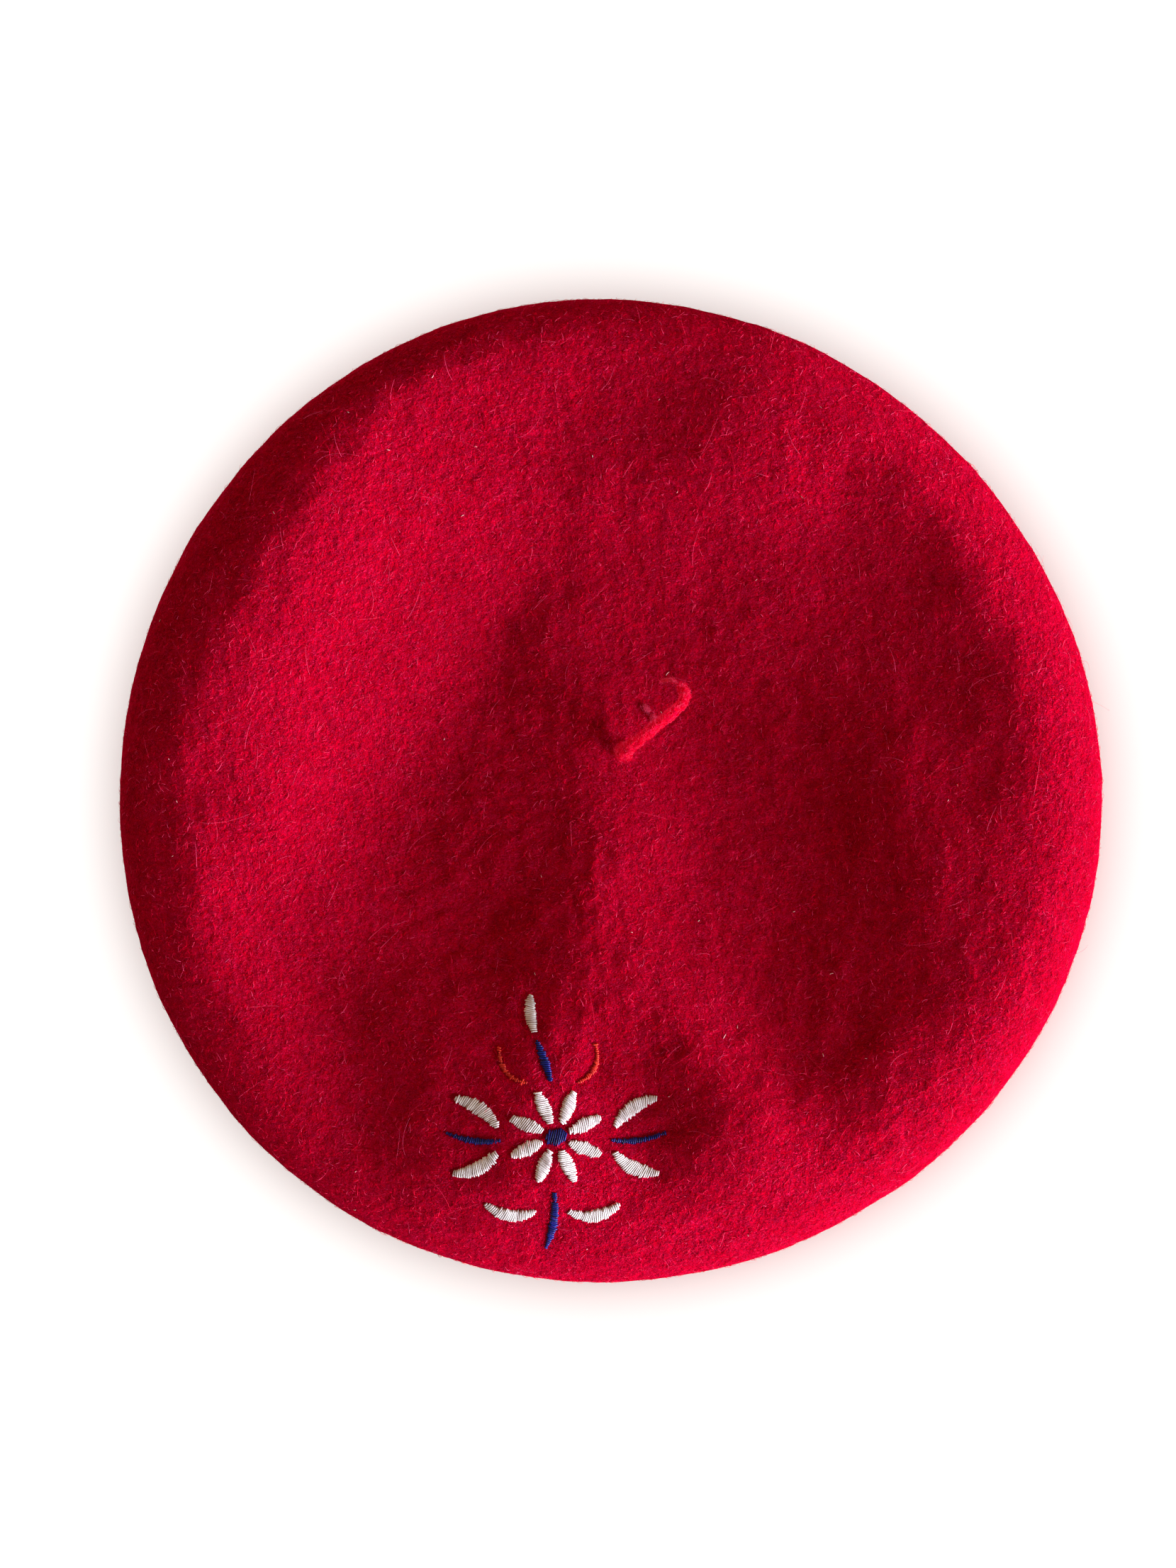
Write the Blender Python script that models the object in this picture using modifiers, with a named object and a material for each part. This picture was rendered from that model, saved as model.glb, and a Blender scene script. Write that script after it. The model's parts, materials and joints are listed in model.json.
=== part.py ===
"""A felted wool beret lying crown up, modelled as the separate pieces it is sewn from.

Frame: metres, +Z up. The origin is the centre of the head opening, on the plane the beret rests on.
The embroidered front faces -Y. Lengths below are in millimetres, and MM turns them into metres.
"""

import math

import bmesh
import bpy
from mathutils import Vector
from mathutils.bvhtree import BVHTree

MM = 0.001
GAP = 0.4 * MM  # air kept between neighbouring pieces

# Felt body
RIM_RADIUS = 140 * MM
RIM_Z = 26 * MM  # height of the widest point
ROLL_RISE = 15.5 * MM  # from the widest point up to the top of the roll
BOWL_FLOOR = 24 * MM  # height of the sagging crown at its middle, before the folds
BOWL_RADIUS = 121 * MM
BOWL_RISE = 17.5 * MM
BOWL_LEAN = 7 * MM  # the bowl's side is this much higher at BOWL_LEAN_ANGLE and lower opposite it
BOWL_LEAN_ANGLE = math.radians(-65)
BOWL_POWER = 2.8
CREST_RADIUS = 99 * MM
CREST_LEAN = 21 * MM  # the crest lies this much further out at CREST_LEAN_ANGLE and further in opposite it
CREST_LEAN_ANGLE = math.radians(-35)
CREST_SOFTNESS = 1.6 * MM
FOLD_FADE = 24 * MM  # the folds die out over this distance from the rim
FELT = 2.5 * MM
SEAT_OUTER = 104 * MM  # the flat underside runs from the opening's fold to here
OPENING_RADIUS = 87 * MM
HEM_TOP = 17 * MM
SEGMENTS = 48

# Folds of the crown: stations (x, y, height, width) along each fold's line, in mm
FOLDS = {
    "spur": ((-16, -112, 1, 24), (-20, -94, 14, 26), (-16, -70, 16, 28), (-6, -46, 10, 26),
             (-2, -20, 6, 21), (1, 2, 3, 20), (6, 20, 0, 18)),
    "spur_east": ((14, -50, 5, 18), (24, -72, 11, 20), (32, -96, 10, 18), (52, -98, 5, 16)),
    "spur_west": ((-54, -56, 5, 20), (-50, -86, 7, 20)),
    "west_valley": ((-14, 76, -1, 20), (-26, 58, -7, 20), (-36, 34, -8, 22), (-52, 12, -4, 20),
                    (-64, -8, -6, 20), (-80, -28, 0, 18), (-100, -38, -2, 16), (-84, -64, -4, 18),
                    (-74, -84, -4, 18), (-60, -104, -5, 16)),
    "middle_valley": ((-2, 52, -3, 18), (14, 36, -4, 18), (24, 14, -4, 18), (40, -8, -2, 20),
                      (46, -30, -3, 20)),
    "east_swell": ((72, 24, 2, 18), (84, -4, 7, 20), (94, -30, 6, 20)),
    "north_swell": ((-4, 88, 2, 16), (18, 96, 4, 20), (42, 96, 11, 20), (60, 84, 4, 20)),
    "west_swell": ((-66, 90, 4, 18), (-88, 58, 8, 20), (-98, 34, 5, 20), (-96, 4, 4, 18), (-98, -18, 5, 14)),
}
FOLD_STEP = 4 * MM  # spacing of the points that a fold is summed over

# Crown stem
STEM_ROOT = (4 * MM, 11 * MM)
STEM_HEADING = math.radians(39)
STEM_RADIUS = 1.4 * MM
STEM_ARCH = ((0, 0), (0.7, 1.7), (2.4, 3.5), (5.5, 5.1), (9, 6.3), (13, 6.9), (17, 6.9), (20.8, 6.4))  # mm
STEM_HOOK = 3.6 * MM
STEM_HOOK_DROP = 2.0 * MM

# Inside the opening
TAPE = 0.8 * MM
SEAM_THREAD = 0.3 * MM
CORD_RADIUS = 0.8 * MM
CORD_GAP_ANGLE = math.radians(7)  # the cord leaves its channel this far either side of the back
KNOT_RADIUS = 2.6 * MM
KNOT_CENTRE = Vector((0, 81.6, 7.2)) * MM
TAIL_LENGTH = 40 * MM
TAIL_ANGLE = math.radians(30)
TAIL_END_RADIUS = 1.7 * MM
LABEL_ANGLE = math.radians(130)
LABEL_WIDTH = 24 * MM
LABEL_LENGTH = 32 * MM
LABEL_THICKNESS = 0.6 * MM
LABEL_HINGE_RADIUS = 85.6 * MM
LABEL_HINGE_Z = 16.2 * MM
LABEL_DROOP = math.radians(22)

# Embroidery
SATIN_HEIGHT = 1.0 * MM
BACKING = 0.5 * MM
BACKING_RADII = (53 * MM, 126 * MM)
BACKING_ANGLES = (-120, -75)  # degrees
FLOWER = (-15, -97)  # mm
PETALS = 8
PETAL_RADII = (4.0, 13.6)  # mm
PETAL_HALF_WIDTH = 2.3  # mm
FLOWER_CENTRE_RADIUS = 2.9 * MM

# Strokes of the sprig: start, bend and end in plan and the half width, in mm
WHITE_STROKES = {
    "leaf_left_upper": ((-31.5, -94.5), (-35.5, -88), (-43.5, -86.5), 2.4),
    "leaf_left_lower": ((-31.5, -101.5), (-36, -107.5), (-44, -107.5), 2.4),
    "leaf_right_upper": ((1.5, -94.5), (5.5, -88), (13.5, -86.5), 2.4),
    "leaf_right_lower": ((1.5, -101.5), (6, -107.5), (14, -107.5), 2.4),
    "leaf_base_left": ((-20.5, -118), (-28, -122), (-35, -116), 2.1),
    "leaf_base_right": ((-11.5, -118), (-4, -122), (3, -116), 2.1),
    "bud": ((-21, -68), (-23, -63), (-22, -57.5), 2.0),
}
BLUE_STROKES = {
    "sprig_stem": ((-15.5, -112.5), (-14.5, -121), (-18, -129), 1.3),
    "bud_stem": ((-16.5, -81.5), (-18, -76), (-20.5, -70), 1.3),
    "twig_left": ((-30.5, -98), (-38, -99.5), (-46, -96), 0.9),
    "twig_right": ((0.5, -98), (8, -99.5), (16, -96), 0.9),
}
RED_STROKES = {
    "tendril_left": ((-23, -82), (-31, -81), (-31, -72), 0.6),
    "tendril_right": ((-9, -82), (-1.5, -79), (-4, -71), 0.6),
}


def clear_scene():
    for obj in list(bpy.data.objects):
        bpy.data.objects.remove(obj)


def material(name, colour, roughness, metallic=0.0):
    made = bpy.data.materials.new(name)
    made.use_nodes = True
    shader = made.node_tree.nodes["Principled BSDF"]
    shader.inputs["Base Color"].default_value = (*colour, 1.0)
    shader.inputs["Roughness"].default_value = roughness
    shader.inputs["Metallic"].default_value = metallic
    return made


def add_object(name, data, finish, collection):
    obj = bpy.data.objects.new(name, data)
    collection.objects.link(obj)
    obj.data.materials.append(finish)
    return obj


def add_mesh(name, bm, finish, collection, smooth=True):
    mesh = bpy.data.meshes.new(name)
    bm.to_mesh(mesh)
    bm.free()
    if smooth:
        mesh.shade_smooth()
    return add_object(name, mesh, finish, collection)


def add_pivot(name, location, moving, collection):
    """An empty on a joint's axis that carries the pieces turning about it."""
    pivot = bpy.data.objects.new(name, None)
    pivot.location = location
    collection.objects.link(pivot)
    bpy.context.view_layer.update()
    for obj in moving:
        obj.parent = pivot
        obj.matrix_parent_inverse = pivot.matrix_world.inverted()


def solidify(obj, thickness, offset):
    thick = obj.modifiers.new("thickness", "SOLIDIFY")
    thick.thickness = thickness
    thick.offset = offset


# ---- The crown's shape ----


def soft_minimum(a, b, softness):
    low = min(a, b)
    return low - softness * math.log(math.exp((low - a) / softness) + math.exp((low - b) / softness))


def smooth_step(t):
    t = min(1.0, max(0.0, t))
    return t * t * (3 - 2 * t)


def fold_points(stations):
    """Evenly spaced (x, y, height, width) points along a fold's line, in metres."""
    points = []
    for a, b in zip(stations, stations[1:]):
        a, b = [value * MM for value in a], [value * MM for value in b]
        steps = max(1, round(math.dist(a[:2], b[:2]) / FOLD_STEP))
        for i in range(steps):
            points.append([p + (q - p) * i / steps for p, q in zip(a, b)])
    return points


FOLD_POINTS = [point for fold in FOLDS.values() for point in fold_points(fold)]


def fold_lift(x, y):
    """Height that the folds add at (x, y): each fold is a line smeared sideways by a Gaussian."""
    lift = 0.0
    for px, py, height, width in FOLD_POINTS:
        spread = ((x - px) ** 2 + (y - py) ** 2) / width**2
        lift += height * math.exp(-spread) * FOLD_STEP / (width * math.sqrt(math.pi))
    return lift * smooth_step((RIM_RADIUS - math.hypot(x, y)) / FOLD_FADE)


def crown_height(x, y):
    """Height of the felt's top side: the rim's roll meets a sagging bowl, and the folds lie on both."""
    radius = min(math.hypot(x, y), RIM_RADIUS)
    angle = math.atan2(y, x)
    crest = CREST_RADIUS + CREST_LEAN * math.cos(angle - CREST_LEAN_ANGLE)
    across = max(0.0, radius - crest) / (RIM_RADIUS - crest)
    roll = RIM_Z + ROLL_RISE * math.sqrt(max(0.0, 1 - across**2))
    rise = BOWL_RISE + BOWL_LEAN * math.cos(angle - BOWL_LEAN_ANGLE)
    bowl = BOWL_FLOOR + rise * (radius / BOWL_RADIUS) ** BOWL_POWER
    return soft_minimum(roll, bowl, CREST_SOFTNESS) + fold_lift(x, y)


def outline(angle):
    """How far the rim departs from a circle in this direction, as a factor."""
    stretch = 0.004 * math.cos(angle - math.radians(250))
    corners = 0.007 * math.cos(3 * (angle - math.radians(345)))
    return 1 + stretch + corners


def felt_profile():
    """(radius, height) of the felt's outer side, from the hem's top edge round to the crown's middle."""
    hem = [(OPENING_RADIUS + 2.4 * MM, HEM_TOP), (OPENING_RADIUS + 0.2 * MM, 4.2 * MM)]
    fold_radius = 3.4 * MM
    fold = []
    for degrees in (195, 232, 270):
        a = math.radians(degrees)
        fold.append((OPENING_RADIUS + fold_radius * (1 + math.cos(a)), fold_radius * (1 + math.sin(a))))
    belly = []
    for degrees in (0, 20, 38, 56, 74, 90):
        a = math.radians(degrees)
        belly.append((SEAT_OUTER + (RIM_RADIUS - SEAT_OUTER) * math.sin(a), RIM_Z * (1 - math.cos(a))))
    crown = [(r * MM, RIM_Z + MM) for r in (139, 136.5, 132, 126, 119, 110, 98, 84, 69, 53, 37, 20, 0)]
    return hem + fold + belly + crown


def felt_surface():
    """The felt's outer side as an open surface: the turned profile, its crown dished, its rim off round."""
    bm = bmesh.new()
    ring = [bm.verts.new((r, 0, z)) for r, z in felt_profile()]
    edges = [bm.edges.new(pair) for pair in zip(ring, ring[1:])]
    bmesh.ops.spin(bm, geom=ring + edges, cent=(0, 0, 0), axis=(0, 0, 1), angle=math.tau,
                   steps=SEGMENTS, use_merge=True)
    bmesh.ops.remove_doubles(bm, verts=bm.verts, dist=0.05 * MM)
    for vert in bm.verts:
        x, y, z = vert.co
        if z > RIM_Z + 0.5 * MM:
            vert.co.z = crown_height(x, y)
        radius = math.hypot(x, y)
        share = smooth_step((radius - SEAT_OUTER) / (RIM_RADIUS - SEAT_OUTER))
        factor = 1 + (outline(math.atan2(y, x)) - 1) * share
        vert.co.x, vert.co.y = x * factor, y * factor
    bmesh.ops.recalc_face_normals(bm, faces=bm.faces)
    top = max(bm.faces, key=lambda face: face.calc_center_median().z)
    if top.normal.z < 0:
        bmesh.ops.reverse_faces(bm, faces=bm.faces)
    bm.normal_update()
    return bm


def felt_body(finish, collection):
    body = add_mesh("felt_body", felt_surface(), finish, collection)
    solidify(body, FELT, -1)
    return body


def tree_of(obj):
    bpy.context.view_layer.update()
    return BVHTree.FromObject(obj, bpy.context.evaluated_depsgraph_get())


def outside_at(tree, x, y):
    """Height of the felt's top side at (x, y)."""
    hit = tree.ray_cast(Vector((x, y, 0.2)), Vector((0, 0, -1)))
    return hit[0].z


def inside_at(tree, x, y):
    """Height of the felt's inner side under the crown at (x, y)."""
    hit = tree.ray_cast(Vector((x, y, -0.01)), Vector((0, 0, 1)))
    return hit[0].z


# ---- Crown stem ----


def stem_frame(tree):
    """The stem's root, high enough for its end to turn there without touching the felt."""
    x, y = STEM_ROOT
    reach = 2 * STEM_RADIUS
    around = [math.tau * i / 8 for i in range(8)]
    high = max(outside_at(tree, x + reach * math.cos(a), y + reach * math.sin(a)) for a in around)
    return Vector((x, y, max(high, outside_at(tree, x, y)) + GAP + STEM_RADIUS))


def round_wire(name, points, radius, finish, collection, radii=None):
    curve = bpy.data.curves.new(name, "CURVE")
    curve.dimensions = "3D"
    curve.bevel_depth = radius
    curve.bevel_resolution = 2
    curve.use_fill_caps = True
    spline = curve.splines.new("POLY")
    spline.points.add(len(points) - 1)
    for i, (spot, point) in enumerate(zip(spline.points, points)):
        spot.co = (*point, 1)
        spot.radius = radii[i] if radii else 1.0
    spline.use_smooth = True
    return add_object(name, curve, finish, collection)


def crown_stem(tree, finish, collection):
    """The felted tail at the crown's peak: it rises, bends over along its heading and hooks at the tip."""
    root = stem_frame(tree)
    along = Vector((math.cos(STEM_HEADING), math.sin(STEM_HEADING), 0))
    aside = Vector((-along.y, along.x, 0))
    points = [along * reach * MM + Vector((0, 0, height * MM)) for reach, height in STEM_ARCH]
    radii = [0.8] + [1.0] * (len(points) - 1)
    bend = points[-1]
    for degrees in (32, 64, 92, 116):
        a = math.radians(degrees)
        hook = along * (STEM_HOOK * math.sin(a)) + aside * (STEM_HOOK * (1 - math.cos(a)))
        points.append(bend + hook - Vector((0, 0, STEM_HOOK_DROP * a / 2)))
        radii.append(1 - 0.12 * a)
    stem = round_wire("crown_stem", [root + p for p in points], STEM_RADIUS, finish, collection, radii)
    add_pivot("stem_pivot", root, [stem], collection)


def stem_darning(tree, finish, collection):
    """The round of sewing inside the crown that holds the stem's end."""
    radius, height = 4.0 * MM, 1.2 * MM
    x, y = STEM_ROOT
    roof = min(inside_at(tree, x + radius * math.cos(a), y + radius * math.sin(a))
               for a in (math.tau * i / 8 for i in range(8)))
    bm = bmesh.new()
    bmesh.ops.create_cone(bm, cap_ends=True, segments=16, radius1=radius, radius2=radius * 0.75,
                          depth=height)
    obj = add_mesh("stem_darning", bm, finish, collection, smooth=False)
    obj.location = (x, y, roof - GAP - height)


# ---- Band, seams and drawcord ----


def sweatband(finish, collection):
    """The ribbon sewn over the hem: a closed section turned round the opening, bellied out over the cord."""
    face = [(86.5, 3.2), (85.7, 8.0), (85.9, 13.0), (88.6, 16.5), (89.0, 19.0)]
    outer = [(r * MM, z * MM) for r, z in face]
    inner = [(r - TAPE, z) for r, z in outer]
    section = outer[::-1] + inner
    bm = bmesh.new()
    ring = [bm.verts.new((r, 0, z)) for r, z in section]
    for a, b in zip(ring, ring[1:] + ring[:1]):
        bm.edges.new((a, b))
    obj = add_mesh("sweatband", bm, finish, collection)
    turn = obj.modifiers.new("turn", "SCREW")
    turn.angle = math.tau
    turn.steps = turn.render_steps = SEGMENTS
    turn.use_merge_vertices = True
    turn.merge_threshold = 0.05 * MM


def seam_ring(name, radius, height, finish, collection):
    bpy.ops.mesh.primitive_torus_add(major_radius=radius, minor_radius=SEAM_THREAD, major_segments=SEGMENTS,
                                     minor_segments=5, location=(0, 0, height))
    obj = bpy.context.object
    obj.name = name
    for owner in list(obj.users_collection):
        owner.objects.unlink(obj)
    collection.objects.link(obj)
    obj.data.materials.append(finish)


def drawcord(finish, collection):
    """The cord in the channel between ribbon and hem, open at the back where its ends come out."""
    radius, height, steps = 87.0 * MM, 10.5 * MM, 44
    start = math.radians(90) + CORD_GAP_ANGLE
    sweep = math.tau - 2 * CORD_GAP_ANGLE
    angles = [start + sweep * i / steps for i in range(steps + 1)]
    points = [Vector((radius * math.cos(a), radius * math.sin(a), height)) for a in angles]
    round_wire("drawcord", points, CORD_RADIUS, finish, collection)


def ball(name, radius, centre, finish, collection):
    bm = bmesh.new()
    bmesh.ops.create_uvsphere(bm, u_segments=12, v_segments=8, radius=radius)
    bmesh.ops.translate(bm, vec=centre, verts=bm.verts)
    return add_mesh(name, bm, finish, collection)


def cord_tail(side, sign, finish, collection):
    """One end of the cord: it leaves the knot, drops to the table and ends in a small knot of its own."""
    heading = Vector((sign * math.sin(TAIL_ANGLE), -math.cos(TAIL_ANGLE), 0))
    resting = CORD_RADIUS + GAP
    start = KNOT_RADIUS + GAP + 0.4 * MM
    points = []
    for i in range(9):
        t = i / 8
        reach = start + (TAIL_LENGTH - start) * t
        drop = smooth_step(t * 3)
        height = (KNOT_CENTRE.z - MM) * (1 - drop) + resting * drop
        points.append(Vector((KNOT_CENTRE.x, KNOT_CENTRE.y, 0)) + heading * reach + Vector((0, 0, height)))
    tail = round_wire(f"cord_tail_{side}", points, CORD_RADIUS, finish, collection)
    end_reach = TAIL_LENGTH + TAIL_END_RADIUS + GAP
    centre = Vector((KNOT_CENTRE.x, KNOT_CENTRE.y, 0)) + heading * end_reach
    centre.z = TAIL_END_RADIUS + GAP
    end = ball(f"cord_end_{side}", TAIL_END_RADIUS, centre, finish, collection)
    add_pivot(f"tail_{side}_pivot", KNOT_CENTRE, [tail, end], collection)


# ---- Care label ----


def care_label(finish, collection):
    """A blank folded label sewn in at its upper edge, drooping into the opening."""
    rows, columns = 5, 2
    bm = bmesh.new()
    bmesh.ops.create_grid(bm, x_segments=columns, y_segments=rows, size=0.5)
    inward = Vector((-math.cos(LABEL_ANGLE), -math.sin(LABEL_ANGLE), 0))
    sideways = Vector((inward.y, -inward.x, 0))
    hinge = Vector((-inward.x, -inward.y, 0)) * LABEL_HINGE_RADIUS + Vector((0, 0, LABEL_HINGE_Z))
    for vert in bm.verts:
        across, t = vert.co.x * LABEL_WIDTH, 0.5 - vert.co.y
        droop = LABEL_DROOP * (1 - 0.25 * t)
        drop = Vector((0, 0, -math.sin(droop)))
        vert.co = hinge + sideways * across + (inward * math.cos(droop) + drop) * (LABEL_LENGTH * t)
    obj = add_mesh("care_label", bm, finish, collection, smooth=False)
    solidify(obj, LABEL_THICKNESS, 0)
    add_pivot("label_pivot", hinge, [obj], collection)


# ---- Embroidery ----


def bend_point(stroke, t):
    """Point on the quadratic curve through a stroke's start, bend and end, in metres."""
    start, bend, end = (Vector(p) * MM for p in stroke[:3])
    return start * (1 - t) ** 2 + bend * (2 * t * (1 - t)) + end * t**2


def satin_pad(name, stroke, tree, finish, collection, rows=8):
    """A raised pad of satin stitch: a leaf-shaped strip laid on the felt along the stroke, thickened."""
    half_width = stroke[3] * MM
    bm = bmesh.new()
    bmesh.ops.create_grid(bm, x_segments=2, y_segments=rows, size=0.5)
    for vert in bm.verts:
        t = min(1.0, max(0.0, vert.co.y + 0.5))
        side = vert.co.x * 2
        centre = bend_point(stroke, t)
        tangent = bend_point(stroke, min(1.0, t + 0.02)) - bend_point(stroke, max(0.0, t - 0.02))
        normal = Vector((-tangent.y, tangent.x)).normalized()
        width = half_width * (0.25 + 0.75 * math.sin(math.pi * t) ** 0.8)
        spot = centre + normal * (side * width)
        vert.co = (spot.x, spot.y, outside_at(tree, spot.x, spot.y) + GAP + 0.1 * MM)
    bmesh.ops.recalc_face_normals(bm, faces=bm.faces)
    for face in bm.faces:
        if face.normal.z < 0:
            face.normal_flip()
    obj = add_mesh(name, bm, finish, collection)
    solidify(obj, SATIN_HEIGHT, 1)


def petal_stroke(index):
    angle = math.tau * (index + 0.5) / PETALS
    inner, outer = ((FLOWER[0] + r * math.cos(angle), FLOWER[1] + r * math.sin(angle)) for r in PETAL_RADII)
    middle = ((inner[0] + outer[0]) / 2, (inner[1] + outer[1]) / 2)
    return inner, middle, outer, PETAL_HALF_WIDTH


def flower_centre(tree, finish, collection):
    bm = bmesh.new()
    x, y = FLOWER[0] * MM, FLOWER[1] * MM
    bmesh.ops.create_circle(bm, cap_ends=True, cap_tris=True, segments=12, radius=FLOWER_CENTRE_RADIUS)
    for vert in bm.verts:
        vx, vy = vert.co.x + x, vert.co.y + y
        vert.co = (vx, vy, outside_at(tree, vx, vy) + GAP + 0.1 * MM)
    bm.normal_update()
    for face in bm.faces:
        if face.normal.z < 0:
            face.normal_flip()
    obj = add_mesh("flower_centre", bm, finish, collection)
    solidify(obj, SATIN_HEIGHT, 1)


def embroidery_backing(finish, collection):
    """The stabiliser left behind the stitching: a piece of the crown's own surface, inside the felt."""
    bm = felt_surface()
    low, high = BACKING_RADII
    first, last = (math.radians(a) for a in BACKING_ANGLES)
    slack = 0.3 * MM
    placed = {vert.index: vert.co - vert.normal * (FELT + GAP) for vert in bm.verts}
    outside = []
    for vert in bm.verts:
        angle, radius = math.atan2(vert.co.y, vert.co.x), vert.co.xy.length
        inside_wedge = first - 0.02 <= angle <= last + 0.02
        inside_ring = low - slack <= radius <= high + 6 * slack
        if not (vert.co.z > RIM_Z - 9 * MM and inside_wedge and inside_ring):
            outside.append(vert)
    for vert in bm.verts:
        vert.co = placed[vert.index]
    bmesh.ops.delete(bm, geom=outside, context="VERTS")
    obj = add_mesh("embroidery_backing", bm, finish, collection)
    solidify(obj, BACKING, -1)


def embroidery(tree, white, blue, red, collection):
    for index in range(PETALS):
        satin_pad(f"petal_{index + 1}", petal_stroke(index), tree, white, collection, rows=6)
    flower_centre(tree, blue, collection)
    for finish, strokes in ((white, WHITE_STROKES), (blue, BLUE_STROKES), (red, RED_STROKES)):
        for name, stroke in strokes.items():
            satin_pad(name, stroke, tree, finish, collection)


def build():
    clear_scene()
    beret = bpy.data.collections.new("beret")
    bpy.context.scene.collection.children.link(beret)

    wool = material("red_wool_felt", (0.42, 0.005, 0.02), 0.9)
    ribbon = material("black_ribbon", (0.015, 0.015, 0.017), 0.6)
    cord = material("black_cord", (0.02, 0.02, 0.022), 0.7)
    seam = material("red_sewing_thread", (0.35, 0.01, 0.02), 0.5)
    label = material("white_label", (0.8, 0.79, 0.76), 0.5)
    stabiliser = material("white_stabiliser", (0.75, 0.75, 0.73), 0.9)
    white = material("white_thread", (0.82, 0.78, 0.74), 0.35)
    blue = material("blue_thread", (0.02, 0.05, 0.35), 0.35)
    red = material("red_thread", (0.55, 0.01, 0.01), 0.35)

    tree = tree_of(felt_body(wool, beret))
    crown_stem(tree, wool, beret)
    stem_darning(tree, seam, beret)

    sweatband(ribbon, beret)
    seam_ring("band_seam_lower", 84.8 * MM, 4.4 * MM, seam, beret)
    seam_ring("band_seam_upper", 87.3 * MM, 17.6 * MM, seam, beret)
    drawcord(cord, beret)
    ball("cord_knot", KNOT_RADIUS, KNOT_CENTRE, cord, beret)
    cord_tail("left", -1, cord, beret)
    cord_tail("right", 1, cord, beret)
    care_label(label, beret)

    embroidery_backing(stabiliser, beret)
    embroidery(tree, white, blue, red, beret)


build()
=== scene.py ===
"""Looks for a felted wool beret lying crown up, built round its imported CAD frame.

Metres, +Z up, the head opening's centre at the origin and the embroidered front towards -Y.
Every soft CAD solid is replaced here by a finer piece that lies in the same space.
"""

import json
import math

import bpy
import numpy as np
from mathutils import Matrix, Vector
from mathutils.bvhtree import BVHTree


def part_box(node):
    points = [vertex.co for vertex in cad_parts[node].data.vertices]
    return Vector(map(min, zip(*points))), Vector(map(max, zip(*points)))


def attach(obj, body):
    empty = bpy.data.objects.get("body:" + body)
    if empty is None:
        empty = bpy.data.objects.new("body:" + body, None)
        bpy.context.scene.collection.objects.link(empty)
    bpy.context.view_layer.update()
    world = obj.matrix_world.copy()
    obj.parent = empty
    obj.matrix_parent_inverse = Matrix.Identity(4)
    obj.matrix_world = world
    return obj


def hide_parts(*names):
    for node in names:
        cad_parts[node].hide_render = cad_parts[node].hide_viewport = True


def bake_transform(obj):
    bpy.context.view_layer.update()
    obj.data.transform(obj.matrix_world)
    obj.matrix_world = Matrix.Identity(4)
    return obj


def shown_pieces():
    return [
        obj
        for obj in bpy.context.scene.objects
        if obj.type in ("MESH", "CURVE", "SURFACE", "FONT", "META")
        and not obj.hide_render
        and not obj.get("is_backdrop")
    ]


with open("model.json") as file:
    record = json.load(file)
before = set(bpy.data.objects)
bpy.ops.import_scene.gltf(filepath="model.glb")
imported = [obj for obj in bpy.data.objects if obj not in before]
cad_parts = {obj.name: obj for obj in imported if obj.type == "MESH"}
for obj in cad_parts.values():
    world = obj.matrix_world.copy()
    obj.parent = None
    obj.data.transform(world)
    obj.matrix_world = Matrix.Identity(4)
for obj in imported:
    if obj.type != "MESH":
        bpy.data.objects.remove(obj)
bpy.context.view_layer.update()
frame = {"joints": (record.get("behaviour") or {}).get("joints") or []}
MM = 0.001
DETAIL = 1.0  # share of the nap's fibres that is made

# ---- Shape of the felt, the same rules as the CAD body ----

RIM_RADIUS = 140 * MM
RIM_Z = 26 * MM
ROLL_RISE = 15.5 * MM
BOWL_FLOOR = 24 * MM
BOWL_RADIUS = 121 * MM
BOWL_RISE = 17.5 * MM
BOWL_LEAN = 7 * MM
BOWL_LEAN_ANGLE = math.radians(-65)
BOWL_POWER = 2.8
CREST_RADIUS = 99 * MM
CREST_LEAN = 21 * MM
CREST_LEAN_ANGLE = math.radians(-35)
CREST_SOFTNESS = 1.6 * MM
FOLD_FADE = 24 * MM
FELT = 2.5 * MM
SEAT_OUTER = 104 * MM
OPENING_RADIUS = 87 * MM
HEM_FOLD = 3.4 * MM
SEGMENTS = 288
ROLL_START = 118 * MM  # from here outwards the crown's rings close up towards the rim
HEM_LINE = ((2.4 * MM, 17 * MM), (0.2 * MM, 4.2 * MM))  # (outwards, up) of the hem's top and foot
# Rings of the outer side, counted from the hem's top
LAST_HEM_RING = 16
LAST_UNDER_RING = 44
LAST_ROLL_RING = 66
# Unevenness of the felt: (height, wavelength, seed)
FELT_LUMPS = ((0.20 * MM, 34 * MM, 11), (0.12 * MM, 13 * MM, 12), (0.13 * MM, 5.5 * MM, 13))

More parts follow.
